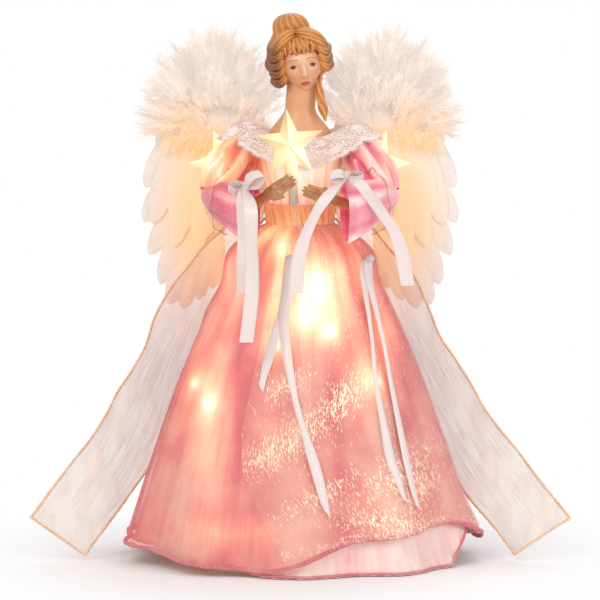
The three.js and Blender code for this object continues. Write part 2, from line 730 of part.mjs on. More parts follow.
/** Star, lamp and holder in a group that leans from upright by an angle towards +X. */
function litStar(prefix, centre, lean) {
  const direction = V(Math.sin(rad(lean)), 0, Math.cos(rad(lean)));
  const foot = centre.clone().addScaledVector(direction, -starCentre);
  const group = new THREE.Group();
  group.position.copy(foot);
  group.rotation.y = rad(lean);
  root.add(group);
  add(group, `${prefix}_star`, star, CLEAR, 0.1);
  add(group, `${prefix}_star_lamp`, lamp(STAR_HOLDER_LENGTH, LAMP_LENGTH), CLEAR, 0.1);
  add(group, `${prefix}_star_holder`, holder(STAR_HOLDER_LENGTH), PLASTIC_GREY, 0.5);
  return foot.addScaledVector(direction, -FIT);
}

const frontFoot = litStar('front', FRONT_STAR, -FRONT_STAR_LEAN);
const frontEnd = around(rad(2), bandRx + FIT, bandRy + FIT, skirtNeckZ + 8);
const frontLead = new THREE.CatmullRomCurve3([
  frontFoot,
  frontFoot.clone().add(V(1, 2, -12)),
  V(2, mix(frontFoot.y, frontEnd.y, 0.45), frontEnd.z - 7),
  frontEnd.clone().add(V(0.3, -7, -2.5)),
  frontEnd,
]);
add(root, 'front_star_lead', tube(frontLead, LEAD_R, 5, 10), WIRE, 0.5);

for (const [prefix, side] of [['right', 1], ['left', -1]]) {
  const foot = litStar(prefix, SIDE_STAR.clone().multiply(V(side, 1, 1)), side * SIDE_STAR_LEAN);
  const end = around(side * rad(128), bandRx + FIT + 0.2, bandRy + FIT + 0.2, skirtNeckZ + 9);
  const lead = new THREE.CatmullRomCurve3([
    foot,
    foot.clone().add(V(side * -2.5, -0.5, -6)),
    foot.clone().lerp(end, 0.55).add(V(0, 0, -5)),
    end.clone().add(V(side * 5, 3, -1)),
    end,
  ]);
  add(root, `${prefix}_star_lead`, tube(lead, LEAD_R, 5, 9), WIRE, 0.5);
}

// Arms, drawn for the right side

const frameOf = (axis) => {
  const w = axis.clone().normalize();
  const side = V().crossVectors(w, UP).normalize();
  return { w, side, up: V().crossVectors(side, w) };
};
const ringPoint = (start, frame, along, radius, angle, droop = 0) =>
  start
    .clone()
    .addScaledVector(frame.w, along)
    .addScaledVector(frame.up, radius * Math.cos(angle))
    .addScaledVector(frame.side, radius * Math.sin(angle))
    .add(V(0, 0, -droop));

function hand(wrist, fingertip, thumbSide) {
  const length = wrist.distanceTo(fingertip);
  const palmLength = 0.36 * length;
  const palmZ = 0.36 * length;
  const fingerZ = palmZ + 0.5 * palmLength;
  const fingerLength = length - fingerZ - 2 * FINGER_R;
  const spread = (PALM_WIDTH - 2 * FINGER_R) / 3;
  const fingers = [0, 1, 2, 3].map((k) => {
    const long = fingerLength * (k === 0 || k === 3 ? 0.84 : 1);
    const finger = new THREE.CapsuleGeometry(FINGER_R, long, 2, 6).rotateX(Math.PI / 2);
    return finger.translate((k - 1.5) * spread, 0, fingerZ + long / 2);
  });
  const thumb = new THREE.CapsuleGeometry(1.1 * FINGER_R, 0.2 * length, 2, 6).rotateX(Math.PI / 2);
  thumb.rotateY(thumbSide * 0.7).translate(thumbSide * 0.58 * PALM_WIDTH, 0, palmZ + 1);
  const bore = disc(ARM_WIRE_R + FIT, -1, 6 + FIT, 8);
  const body = union(
    disc(WRIST_R, 0, palmZ, 10),
    ball(PALM_WIDTH / 2, PALM_THICK / 2, 0.62 * palmLength, 10, 8).translate(0, 0, palmZ),
    ...fingers,
    thumb,
  );
  const group = aimed(wrist, fingertip.clone().sub(wrist));
  const shape = placed(cut(body, bore), group);
  root.remove(group);
  return shape;
}

const shoulderTop = V(SHOULDER_X, 0, torsoTop + SHOULDER_RISE);
const shoulderOut = shoulderTop.clone().add(V(SHOULDER_REACH, -2, 0));
const upperArm = frameOf(ELBOW.clone().sub(shoulderOut));
const upperLength = ELBOW.distanceTo(shoulderOut);

const sleeveRadius = (v, angle) => {
  const puff = Math.sin(Math.PI * v) ** 0.6;
  const ripple = SLEEVE_PUFF_DEPTH * puff * Math.cos(SLEEVE_PUFFS * angle);
  return mix(SLEEVE_END_R, SLEEVE_R, puff) + ripple;
};
const sleeveFrom = 0.14 * upperLength;
const sleeveTo = 0.74 * upperLength;
const sleeveFace = (bore) => (u, v) => {
  const angle = 2 * Math.PI * u;
  const radius = bore ? ARM_WIRE_R + FIT : sleeveRadius(v, angle);
  return ringPoint(shoulderOut, upperArm, mix(sleeveFrom, sleeveTo, v), radius, angle);
};
const sleeve = sheet(20, 4, sleeveFace(false), sleeveFace(true), true);

function buildArm(prefix, side, wrist, fingertip, bow) {
  const shape = (geometry) => (side > 0 ? geometry : mirrored(geometry));
  const reach = fingertip.clone().sub(wrist).normalize();
  const wire = bentPath(
    [
      V(SHOULDER_X, 0, torsoTop - SOCKET_DEPTH + FIT),
      shoulderTop,
      shoulderOut,
      ELBOW,
      wrist.clone().addScaledVector(reach, -4),
      wrist.clone().addScaledVector(reach, 6),
    ],
    3,
  );
  add(root, `${prefix}_arm_wire`, shape(tube(wire, ARM_WIRE_R, 5, 26)), WIRE, 0.4, 0.9);
  add(root, `${prefix}_hand`, shape(hand(wrist, fingertip, side)), HAND, 0.5);
  add(root, `${prefix}_sleeve`, shape(sleeve), SATIN_CORAL, 0.3);

  const fore = frameOf(wrist.clone().addScaledVector(reach, -4).sub(ELBOW));
  const cuffAlong = (v) => mix(5, 5 + CUFF_LENGTH, v);
  const cuffRadius = (v, angle) => {
    const fold = CUFF_FOLD_DEPTH * v * Math.cos(CUFF_FOLDS * angle);
    return mix(CUFF_START_R, CUFF_R, ease(1.25 * v)) + fold;
  };
  const cuffPoint = (v, angle, out) => {
    return ringPoint(ELBOW, fore, cuffAlong(v), cuffRadius(v, angle) + out, angle, CUFF_DROOP * ease(v));
  };
  const cuffInner = (u, v) => {
    const angle = 2 * Math.PI * u;
    const gathered = ease(v / 0.3);
    const hollow = cuffRadius(v, angle) - CUFF_THICK;
    const radius = mix(ARM_WIRE_R + FIT, hollow, gathered);
    return ringPoint(ELBOW, fore, cuffAlong(v), radius, angle, gathered * CUFF_DROOP * ease(v));
  };
  const cuff = sheet(20, 5, (u, v) => cuffPoint(v, 2 * Math.PI * u, 0), cuffInner, true);
  add(root, `${prefix}_cuff`, shape(cuff), SATIN_ROSE, 0.35);

  // The ruffle goes round the cuff's start, apart from the side under the sleeve
  const ruffleTo = RUFFLE_WIDTH / CUFF_LENGTH;
  const ruffleFace = (out) => (u, v) => {
    const angle = mix(rad(75), rad(285), u);
    const wave = v * RUFFLE_FOLD_DEPTH * (1 + Math.cos(RUFFLE_FOLDS * angle));
    return cuffPoint(v * ruffleTo, angle, CLOTH_FIT + wave + v * RUFFLE_FLARE + out);
  };
  const ruffle = sheet(20, 2, ruffleFace(CLOTH_THICK), ruffleFace(0), false);
  add(root, `${prefix}_ruffle`, shape(ruffle), ORGANZA_ROSE, 0.6);

  // The bow's knot sits on the cuff, with two loops and two tails
  const knotAngle = bow.angle;
  const seat = cuffPoint(bow.along, knotAngle, 0);
  const normal = ringPoint(V(), fore, 0, 1, knotAngle);
  const knot = seat.clone().addScaledVector(normal, KNOT_R + 2 * FIT);
  const half = RIBBON_WIDTH / 2;
  const loops = bow.loops.map(([dx, dz, open]) => {
    const far = V(dx, -8, dz);
    const across = V(-dz, 0, dx).normalize().multiplyScalar(open);
    const tilt = V(-dz, 0, dx).normalize().multiplyScalar(0.35 * half).add(V(0, -0.93 * half, 0));
    const middle = far.clone().multiplyScalar(0.5);
    const route = [V(), middle.clone().add(across), far, middle.clone().sub(across), V()];
    const centres = route.map((p) => p.clone().add(knot));
    return band(centres, centres.map(() => tilt), RIBBON_THICK, 8, 1);
  });
  const tails = bow.tails.map((route) => {
    const centres = [knot, ...route.map((p) => p.clone())];
    const halves = centres.map((_, k) => (k === 0 ? V(0.6 * half, 0, 0.3 * half) : V(half, 0.15 * half, 0)));
    return band(centres, halves, RIBBON_THICK, 8, 1);
  });
  const knotBall = ball(KNOT_R, KNOT_R, KNOT_R, 7, 5).translate(knot.x, knot.y, knot.z);
  add(root, `${prefix}_bow`, shape(union(knotBall, ...loops, ...tails)), RIBBON, 0.3);
}

// Loops: reach in x and z, and half opening. Tails: points from the knot down.
const rightBow = {
  along: 0.95,
  angle: rad(-12),
  loops: [[-15, 9, 5], [13, 10, 5]],
  tails: [
    [overCone(20, -82, 20), overCone(9, -86, 6), overCone(0, -86, -18), overCone(-3, -84, -47)],
    [overCone(46, -72, 24), overCone(62, -64, 2), overCone(73, -58, -18), overCone(78, -58, -52)],
  ],
};
const leftBow = {
  along: 0.9,
  angle: rad(-30),
  loops: [[-14, 19, 6], [12, 2, 4.5]],
  tails: [
    [overCone(43, -79, 16), overCone(45, -81, -5), overCone(43, -80, -28), overCone(42, -78, -47)],
    [overCone(33, -82, 12), overCone(32, -84, -15), overCone(33, -84, -50), overCone(38, -84, -82)],
  ],
};
buildArm('right', 1, RIGHT_WRIST, RIGHT_FINGERTIP, rightBow);
buildArm('left', -1, LEFT_WRIST, LEFT_FINGERTIP, leftBow);

// Wings, drawn for the right side about the hinge

const bracketZ = torsoTop - BRACKET_HEIGHT - 4;
const backY = Math.max(torsoRy(bracketZ), torsoRy(bracketZ + BRACKET_HEIGHT)) + FIT + BODICE_THICK;
const bracketFront = backY + FIT;
const hingeY = bracketFront + BRACKET_THICK + 0.75 * BARREL_R;
const barrelZ = bracketZ + (BRACKET_HEIGHT - BARREL_LENGTH) / 2;
const barrelAt = (geometry, side) => geometry.clone().translate(side * WING_HINGE_X, hingeY, 0);
const plate = new THREE.BoxGeometry(2 * WING_HINGE_X + 2, BRACKET_THICK, BRACKET_HEIGHT);
plate.translate(0, bracketFront + BRACKET_THICK / 2, bracketZ + BRACKET_HEIGHT / 2);
const barrel = disc(BARREL_R, barrelZ, barrelZ + BARREL_LENGTH, 12);
const barrelBore = disc(WING_WIRE_R + FIT, barrelZ - 1, barrelZ + BARREL_LENGTH + 1, 10);
const bracket = cut(
  union(plate, barrelAt(barrel, 1), barrelAt(barrel, -1)),
  barrelAt(barrelBore, 1),
  barrelAt(barrelBore, -1),
);
add(root, 'wing_bracket', bracket, PLASTIC_WHITE, 0.5);

// Inside a wing's group the hinge is the Z axis, and layers step forward (-Y) from the wire
const wireTop = barrelZ + BARREL_LENGTH + WING_WIRE_R + FIT;
const wingWire = tube(
  bentPath([V(0, 0, barrelZ - 3), V(0, 0, wireTop + 2), V(WING_WIRE_REACH, 0, wireTop + 26)], 3),
  WING_WIRE_R,
  6,
  12,
);
const boardBack = -WING_WIRE_R - FIT;
const flightBack = boardBack - BOARD_THICK - FIT;
const covertBack = flightBack - FEATHER_THICK - FIT;
const downBack = covertBack - FEATHER_THICK - FIT;

/** Extrudes a flat outline in (x, z) forward from a depth. */
const upright = (shape, thick, back) =>
  new THREE.ExtrudeGeometry(shape, { depth: thick, bevelEnabled: false, curveSegments: 3 })
    .rotateX(Math.PI / 2)
    .translate(0, back, 0);
const wingX = ([x, height]) => new THREE.Vector2(x - WING_HINGE_X, CONE_HEIGHT + height);

const boardOutline = new THREE.Shape();
boardOutline.setFromPoints(
  new THREE.SplineCurve(
    [[21, 18], [23, 55], [36, 88], [62, 104], [84, 90], [90, 64], [80, 34], [56, 12], [21, 18]].map(wingX),
  ).getSpacedPoints(28).slice(0, -1),
);
const board = upright(boardOutline, BOARD_THICK, boardBack);

/** One feather blade from its root to its tip, broadest past the middle and round at the end. */
function blade(from, to, width, back) {
  const length = from.distanceTo(to);
  const shape = new THREE.Shape();
  shape.moveTo(0, -0.16 * width);
  shape.quadraticCurveTo(0.55 * length, -0.62 * width, 0.86 * length, -0.36 * width);
  shape.quadraticCurveTo(1.02 * length, -0.2 * width, length, 0);
  shape.quadraticCurveTo(1.02 * length, 0.2 * width, 0.86 * length, 0.36 * width);
  shape.quadraticCurveTo(0.55 * length, 0.62 * width, 0, 0.16 * width);
  const angle = Math.atan2(to.y - from.y, to.x - from.x);
  return upright(shape, FEATHER_THICK, 0).rotateY(-angle).translate(from.x, back, from.y);
}
const flights = Array.from({ length: FLIGHT_FEATHERS }, (_, k) => {
  const t = k / (FLIGHT_FEATHERS - 1);
  const a = rad(mix(13, -62, t));
  const [x, height] = WING_TIP_CENTRE;
  const tip = [x + WING_TIP_RX * Math.cos(a), height + WING_TIP_RZ * Math.sin(a)];
  return blade(wingX([mix(72, 34, t), mix(68, 26, t)]), wingX(tip), FLIGHT_WIDTH, flightBack);
});
const coverts = DOWN_ARCH.map(([x, height], k) => {
  const a = rad(mix(-88, -72, k / (DOWN_ARCH.length - 1)));
  const from = wingX([x - 4, height - 4]);
  const to = from.clone().add(new THREE.Vector2(COVERT_LENGTH * Math.cos(a), COVERT_LENGTH * Math.sin(a)));
  return blade(from, to, COVERT_WIDTH, covertBack);
});

/** Down: a chain of soft lumps along the arch, each with two tufts that point away from the wing's middle. */
const downMiddle = downBack - DOWN_THICK / 2;
const downLumps = DOWN_ARCH.flatMap(([x, height, r]) => {
  const p = wingX([x, height]);
  const away = Math.atan2(height - 55, x - 58);
  const lump = ball(r, DOWN_THICK / 2, r, 7, 5).translate(p.x, downMiddle, p.y);
  const tufts = [0.1].map((turn) => {
    const long = r + DOWN_TUFT;
    const tuft = new THREE.ConeGeometry(0.42 * r, long, 4).translate(0, long / 2, 0).rotateX(Math.PI / 2);
    return tuft.rotateY(Math.PI / 2 - away - turn).translate(p.x, downMiddle, p.y);
  });
  return [lump, ...tufts];
});

const wingPieces = [
  ['wire', wingWire, WIRE, 0.4],
  ['board', board, 0xf2f0ec, 0.9],
  ['flight_feathers', union(...flights), FEATHER, 0.8],
  ['covert_feathers', union(...coverts), FEATHER, 0.8],
  ['down', union(...downLumps), FEATHER, 0.9],
];
for (const [prefix, side] of [['right', 1], ['left', -1]]) {
  const wing = new THREE.Group();
  wing.position.set(side * WING_HINGE_X, hingeY, 0);
  wing.rotation.z = side * rad(WING_SWEEP);
  root.add(wing);
  for (const [name, geometry, color, roughness] of wingPieces) {
    const shape = side > 0 ? geometry : mirrored(geometry);
    add(wing, `${prefix}_wing_${name}`, shape, color, roughness);
  }
}

export default root;
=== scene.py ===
# %% [markdown]
# # Angel tree topper
# A lit figure in satin and organza stands on a hollow cone. The solid model gives every place and size, and
# this lesson dresses it: cloth, lace, feathers, a painted head and the glow of its lamps. All sizes below
# are millimetres and are turned to metres when a mesh is made.

# %% Frame
import math
import bpy
import numpy as np
from mathutils import Matrix, Vector


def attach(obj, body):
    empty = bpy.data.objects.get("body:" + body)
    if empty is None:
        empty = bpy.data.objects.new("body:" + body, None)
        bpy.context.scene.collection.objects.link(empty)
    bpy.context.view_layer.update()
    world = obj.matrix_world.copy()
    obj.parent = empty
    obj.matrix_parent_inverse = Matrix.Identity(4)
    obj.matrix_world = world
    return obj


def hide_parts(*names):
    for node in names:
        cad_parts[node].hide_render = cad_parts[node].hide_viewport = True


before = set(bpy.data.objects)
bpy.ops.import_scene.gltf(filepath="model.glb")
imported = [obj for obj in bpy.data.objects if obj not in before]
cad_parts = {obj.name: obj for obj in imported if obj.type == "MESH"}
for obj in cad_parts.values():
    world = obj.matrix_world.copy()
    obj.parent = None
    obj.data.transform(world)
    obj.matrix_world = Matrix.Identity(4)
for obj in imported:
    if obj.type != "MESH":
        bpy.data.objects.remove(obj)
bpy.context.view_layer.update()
MM = 0.001
SIDES = ((1, "right"), (-1, "left"))

# %% [markdown]
# ## Camera, floor and light
# The photograph was taken from far away with a long lens, a little above the hem, so the camera stands 4 m
# off and looks down by 6.5 degrees. One picture pixel is 0.725 mm at the figure's axis. The floor is a wide
# pale sheet, and a bright even sky with three large soft lamps lights the figure at a level where colours
# render about as written.

# %% Camera
PIXEL = 0.725  # mm
PICTURE = 600  # pixels
STAND_ROW = 558  # row of pixels where the figure's axis meets the floor
ELEVATION = math.radians(6.5)
DISTANCE = 4.0
target = Vector((0, 0, (STAND_ROW - PICTURE / 2) * PIXEL * MM / math.cos(ELEVATION)))
camera = bpy.data.objects.new("camera", bpy.data.cameras.new("camera"))
camera.location = target + DISTANCE * Vector((0, -math.cos(ELEVATION), math.sin(ELEVATION)))
camera.rotation_euler = (math.pi / 2 - ELEVATION, 0, 0)
camera.data.lens = camera.data.sensor_width * DISTANCE / (PICTURE * PIXEL * MM)
camera.data.clip_end = 50
bpy.context.collection.objects.link(camera)
bpy.context.scene.camera = camera
print("lens", round(camera.data.lens), "mm")


# %% [markdown]
# Small helpers come next: one that adds a node with its settings and inputs, one that turns sRGB hex into
# the linear colour that shaders use, and one that starts a material.

# %% Node and colour helpers
def feed(into, inputs):
    """Sets inputs of a node, each by a constant or by a link from a socket or a node's first output."""
    for key, value in inputs.items():
        if isinstance(value, bpy.types.Node):
            value = value.outputs[0]
        if isinstance(value, bpy.types.NodeSocket):
            into.id_data.links.new(value, into.inputs[key])
        else:
            into.inputs[key].default_value = value


def node(tree, kind, inputs=None, stops=(), **settings):
    """Adds a node with its settings and inputs. stops are the places and hex codes of a colour ramp."""
    shading = tree.bl_idname == "ShaderNodeTree"
    new = tree.nodes.new("ShaderNode" + kind if shading else kind)
    for key, value in settings.items():
        setattr(new, key, value)
    feed(new, inputs or {})
    for k, (place, colour) in enumerate(stops):
        ramp = new.color_ramp.elements
        element = ramp[k] if k < 2 else ramp.new(place)
        element.position = place
        element.color = srgb(colour)
    return new


def srgb(hexcode, alpha=1.0):
    """Linear colour of an sRGB hex code such as #e58a84."""
    parts = [int(hexcode[k:k + 2], 16) / 255 for k in (1, 3, 5)]
    linear = [p / 12.92 if p <= 0.04045 else ((p + 0.055) / 1.055) ** 2.4 for p in parts]
    return (*linear, alpha)


def start_material(name, values):
    """New material with one Principled shader that has these constant values."""
    material = bpy.data.materials.new(name)
    material.use_nodes = True
    tree = material.node_tree
    tree.nodes.clear()
    shader = node(tree, "BsdfPrincipled", values)
    node(tree, "OutputMaterial", {"Surface": shader})
    return material, tree, shader


def place_on(obj, material):
    obj.data.materials.clear()
    obj.data.materials.append(material)
    return obj


# %% World
def seen_ray(tree):
    """1 on the rays that show the backdrop: from the camera, through sheer pieces, or mirrored."""
    ray = node(tree, "LightPath")
    clear = node(tree, "Math", {0: ray.outputs["Is Camera Ray"], 1: ray.outputs["Is Transmission Ray"]},
                 operation="MAXIMUM")
    return node(tree, "Math", {0: clear, 1: ray.outputs["Is Glossy Ray"]}, operation="MAXIMUM")


world = bpy.data.worlds.new("studio")
bpy.context.scene.world = world
world.use_nodes = True
sky = world.node_tree
sky.nodes.clear()
white = node(sky, "Background", {"Color": (1, 1, 1, 1), "Strength": 1.0})
soft = node(sky, "Background", {"Color": srgb("#f4f6fa"), "Strength": 0.66})
both = node(sky, "MixShader", {0: seen_ray(sky), 1: soft, 2: white})
node(sky, "OutputWorld", {"Surface": both})
print("sky:", len(sky.nodes), "nodes")


# %% Lamps
def soft_lamp(name, place, size, watts, colour):
    lamp = bpy.data.lights.new(name, "AREA")
    lamp.size = size
    lamp.energy = watts
    lamp.color = srgb(colour)[:3]
    obj = bpy.data.objects.new(name, lamp)
    obj.location = place
    obj.rotation_euler = (target - Vector(place)).to_track_quat("-Z", "Y").to_euler()
    bpy.context.collection.objects.link(obj)


soft_lamp("key_lamp", (-0.9, -1.5, 1.5), 0.9, 14.0, "#fff8f0")
soft_lamp("fill_lamp", (1.3, -1.2, 0.9), 1.1, 8.5, "#f8f9ff")
soft_lamp("rim_lamp", (0.5, 1.5, 1.6), 1.2, 9.0, "#ffffff")
print("key, fill and rim lamp")

# %% Floor
FLOOR_HALF = 3  # metres
floor_mesh = bpy.data.meshes.new("floor")
corners = [(x * FLOOR_HALF, y * FLOOR_HALF, 0) for x, y in ((-1, -1), (1, -1), (1, 1), (-1, 1))]
floor_mesh.from_pydata(corners, [], [(0, 1, 2, 3)])
floor = bpy.data.objects.new("floor", floor_mesh)
bpy.context.collection.objects.link(floor)
floor_paint, tree, shader = start_material("floor_paint", {"Roughness": 0.9, "Specular IOR Level": 0.1})
coord = node(tree, "TexCoord")
speck = node(tree, "TexNoise", {"Scale": 40.0, "Detail": 2.0, "Vector": coord.outputs["Object"]})
tone = node(tree, "ValToRGB", {"Fac": speck}, ((0.0, "#fdfdfd"), (1.0, "#ffffff")))
feed(shader, {"Base Color": tone})
# Away from the figure the floor fades into the white background, and near it the floor keeps its shadow.
away = node(tree, "VectorMath", {0: coord.outputs["Object"]}, operation="LENGTH")
fade = node(tree, "MapRange", {"From Min": 0.12, "From Max": 0.3, "Value": away.outputs["Value"]},
            interpolation_type="SMOOTHSTEP")
share = node(tree, "Math", {0: fade, 1: seen_ray(tree)}, operation="MULTIPLY")
blank = node(tree, "Emission", {"Color": (1, 1, 1, 1), "Strength": 1.0})
blend = node(tree, "MixShader", {0: share, 1: shader, 2: blank})
output = next(n for n in tree.nodes if n.bl_idname == "ShaderNodeOutputMaterial")
feed(output, {"Surface": blend})
place_on(floor, floor_paint)
print("floor", 2 * FLOOR_HALF, "m wide")


# %% [markdown]
# ## Meshes from rules
# Cloth is a grid of points, written as a formula of two running numbers, and its UV map is in metres so
# that a weave keeps its real size. Wires and piping are tubes along a line of points. Both helpers return
# plain meshes.

# %% Curves and angles
def mix(a, b, t):
    return a + (b - a) * t


def ease(t):
    t = np.clip(t, 0, 1)
    return t * t * (3 - 2 * t)


def peak(off, width):
    """Bell curve: 1 where off is 0, and about a third one width away."""
    return np.exp(-(off / width) ** 2)


def hill(x, z, cx, cz, wx, wz):
    """Bell curve of two numbers, with its middle and its widths."""
    return np.exp(-((x - cx) / wx) ** 2 - ((z - cz) / wz) ** 2)


def around(angle, rx, ry, z):
    """Point at an angle from the front (-Y) towards +X."""
    return np.stack(np.broadcast_arrays(rx * np.sin(angle), -ry * np.cos(angle), z), -1)


def ring_grid(columns, rows, end=1.0):
    """Angles round a ring, and steps from 0 to an end, at every point of a grid."""
    return np.meshgrid(np.linspace(0, 2 * np.pi, columns, endpoint=False), np.linspace(0, end, rows))


def units(vectors):
    """The same directions, each one long."""
    return vectors / np.linalg.norm(vectors, axis=-1, keepdims=True)


def run_along(line):
    """Length from a line's start to each of its points."""
    return np.concatenate([[0], np.cumsum(np.linalg.norm(np.diff(line, axis=0), axis=1))])


def values_at(at, run, values):
    """Values between those of a line's points, at given lengths along it."""
    return np.stack([np.interp(at, run, column) for column in values.T], 1)


print("curve helpers ready")


# %% Grids of points
def mark(mesh, key, values):
    """One number per point of a mesh, under a name that materials can read."""
    mesh.attributes.new(key, "FLOAT", "POINT").data.foreach_set("value", np.asarray(values, float).ravel())


def new_object(name, points, faces, uvs=None, smooth=True, attributes=None):
    """Object from points in mm. uvs has one pair per face corner, attributes one number per point."""
    mesh = bpy.data.meshes.new(name)
    mesh.from_pydata((np.asarray(points, float) * MM).tolist(), [], [list(map(int, f)) for f in faces])
    if uvs is not None:
        mesh.uv_layers.new(name="UVMap").data.foreach_set("uv", np.asarray(uvs, float).ravel())
    for key, values in (attributes or {}).items():
        mark(mesh, key, values)
    mesh.polygons.foreach_set("use_smooth", [smooth] * len(mesh.polygons))
    obj = bpy.data.objects.new(name, mesh)
    bpy.context.collection.objects.link(obj)
    return obj


def grid_faces(rows, cols, closed):
    """Faces of a grid of points, each with its row and column."""
    span = cols if closed else cols - 1
    j, i = np.meshgrid(np.arange(rows - 1), np.arange(span), indexing="ij")
    k = (i + 1) % cols
    faces = np.stack([j * cols + i, j * cols + k, (j + 1) * cols + k, (j + 1) * cols + i], -1)
    return faces.reshape(-1, 4), j, i


def cloth(name, points, closed=False, flip=False, attributes=None):
    """Sheet from a (rows, columns, 3) grid in millimetres, with a UV map in metres."""
    points = np.asarray(points, float)
    rows, cols = points.shape[:2]
    faces, j, i = grid_faces(rows, cols, closed)
    ring = np.concatenate([points, points[:, :1]], 1) if closed else points
    across = np.concatenate([[0], np.cumsum(np.linalg.norm(np.diff(ring, axis=1), axis=2).mean(0))]) * MM
    down = np.concatenate([[0], np.cumsum(np.linalg.norm(np.diff(points, axis=0), axis=2).mean(1))]) * MM
    j, i = j.ravel(), i.ravel()
    u = np.stack([across[i], across[i + 1], across[i + 1], across[i]], 1)
    v = np.stack([down[j], down[j], down[j + 1], down[j + 1]], 1)
    uv = np.stack([u, v], -1)
    if flip:
        faces, uv = faces[:, ::-1], uv[:, ::-1]
    return new_object(name, points.reshape(-1, 3), faces, uv.reshape(-1, 2), attributes=attributes)


print("grid helpers ready")


# %% Lines and tubes
def smooth_line(points, count):
    """Catmull-Rom line through the points, with evenly spaced samples."""
    p = np.asarray(points, float)
    p = np.concatenate([[2 * p[0] - p[1]], p, [2 * p[-1] - p[-2]]])
    t = np.linspace(0, 1, 24, endpoint=False)[:, None]
    runs = []
    for a, b, c, d in zip(p[:-3], p[1:-2], p[2:-1], p[3:]):
        runs.append(0.5 * (2 * b + (c - a) * t + (2 * a - 5 * b + 4 * c - d) * t ** 2
                           + (3 * b - a - 3 * c + d) * t ** 3))
    line = np.concatenate(runs + [p[-2][None]])
    run = run_along(line)
    return values_at(np.linspace(0, run[-1], count), run, line)


def tube_grid(line, radius, sides, closed=False):
    """Rings of points round a line. radius is one number or one per point."""
    line = np.asarray(line, float)
    ahead = np.gradient(line, axis=0)
    if closed:
        ahead = np.roll(line, -1, 0) - np.roll(line, 1, 0)
    ahead = units(ahead)
    side = np.cross(ahead[0], [0.3, 0.5, 0.81])
    sides_out = []
    for a in ahead:
        side = side - a * np.dot(side, a)
        side /= np.linalg.norm(side)
        sides_out.append(side)
    side = np.array(sides_out)
    up = np.cross(ahead, side)
    turn = np.linspace(0, 2 * np.pi, sides, endpoint=False)
    r = np.broadcast_to(radius, len(line))[:, None, None]
    ring = side[:, None] * np.cos(turn)[None, :, None] + up[:, None] * np.sin(turn)[None, :, None]
    return line[:, None] + r * ring


def tube(name, line, radius, sides=8, closed=False):
    """Round piece along a line, with its ends closed."""
    rings = tube_grid(line, radius, sides, closed)
    rows = len(rings)
    if closed:
        rings = np.concatenate([rings, rings[:1]])
        faces, _, _ = grid_faces(rows + 1, sides, True)
        faces = faces % (rows * sides)
        return new_object(name, rings[:-1].reshape(-1, 3), faces)
    faces, _, _ = grid_faces(rows, sides, True)
    caps = [list(range(sides))[::-1], list(range((rows - 1) * sides, rows * sides))]
    return new_object(name, rings.reshape(-1, 3), faces.tolist() + caps)


def joined(name, pieces):
    """One object from several that share a material list."""
    with bpy.context.temp_override(active_object=pieces[0], selected_editable_objects=pieces):
        bpy.ops.object.join()
    pieces[0].name = name
    return pieces[0]


print("tube helpers ready")


# %% Dressing of a piece
def area_of(obj):
    return sum(p.area for p in obj.data.polygons)


def dress(obj, material, body, slot, *nodes):
    """Gives a finished piece its material and body, and hides the solids that it stands for. slot is not
    used.
    """
    place_on(obj, material)
    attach(obj, body)
    if nodes:
        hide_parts(*nodes)
    return obj


print("dressing helpers ready")


# %% [markdown]
# ## Things that repeat
# Feathers, down, hem stitches, glitter flecks and picots are small shapes, each set on many points. One
# Geometry Nodes tree does it: each point carries its own turn and size, the tree instances the shape there,
# adds a little random size, realises the copies and sets their material. The result is turned into a plain
# mesh.

# %% Geometry Nodes tree for repeats
repeat_tree = bpy.data.node_groups.new("repeat_on_points", "GeometryNodeTree")
for label, kind in (("Geometry", "NodeSocketGeometry"), ("Shape", "NodeSocketObject"),
                    ("Finish", "NodeSocketMaterial"), ("Size spread", "NodeSocketFloat"),
                    ("Seed", "NodeSocketInt")):
    repeat_tree.interface.new_socket(label, in_out="INPUT", socket_type=kind)
repeat_tree.interface.new_socket("Geometry", in_out="OUTPUT", socket_type="NodeSocketGeometry")
given = node(repeat_tree, "NodeGroupInput")
shape = node(repeat_tree, "GeometryNodeObjectInfo", {"As Instance": True, "Object": given.outputs["Shape"]})
turn = node(repeat_tree, "GeometryNodeInputNamedAttribute", {"Name": "turn"}, data_type="FLOAT_VECTOR")
size = node(repeat_tree, "GeometryNodeInputNamedAttribute", {"Name": "size"}, data_type="FLOAT_VECTOR")
as_turn = node(repeat_tree, "FunctionNodeEulerToRotation", {0: turn.outputs["Attribute"]})
low = node(repeat_tree, "ShaderNodeMath", {0: 1.0, 1: given.outputs["Size spread"]}, operation="SUBTRACT")
high = node(repeat_tree, "ShaderNodeMath", {0: 1.0, 1: given.outputs["Size spread"]}, operation="ADD")
chance = node(repeat_tree, "FunctionNodeRandomValue", {2: low, 3: high, "Seed": given.outputs["Seed"]},
              data_type="FLOAT")
scaled = node(repeat_tree, "ShaderNodeVectorMath", {0: size.outputs["Attribute"], "Scale": chance.outputs[1]},
              operation="SCALE")
copies = node(repeat_tree, "GeometryNodeInstanceOnPoints",
              {"Points": given.outputs["Geometry"], "Instance": shape.outputs["Geometry"],
               "Rotation": as_turn, "Scale": scaled})
real = node(repeat_tree, "GeometryNodeRealizeInstances", {0: copies})
painted = node(repeat_tree, "GeometryNodeSetMaterial",
               {"Geometry": real, "Material": given.outputs["Finish"]})
node(repeat_tree, "NodeGroupOutput", {0: painted})
print("repeat tree:", len(repeat_tree.nodes), "nodes")


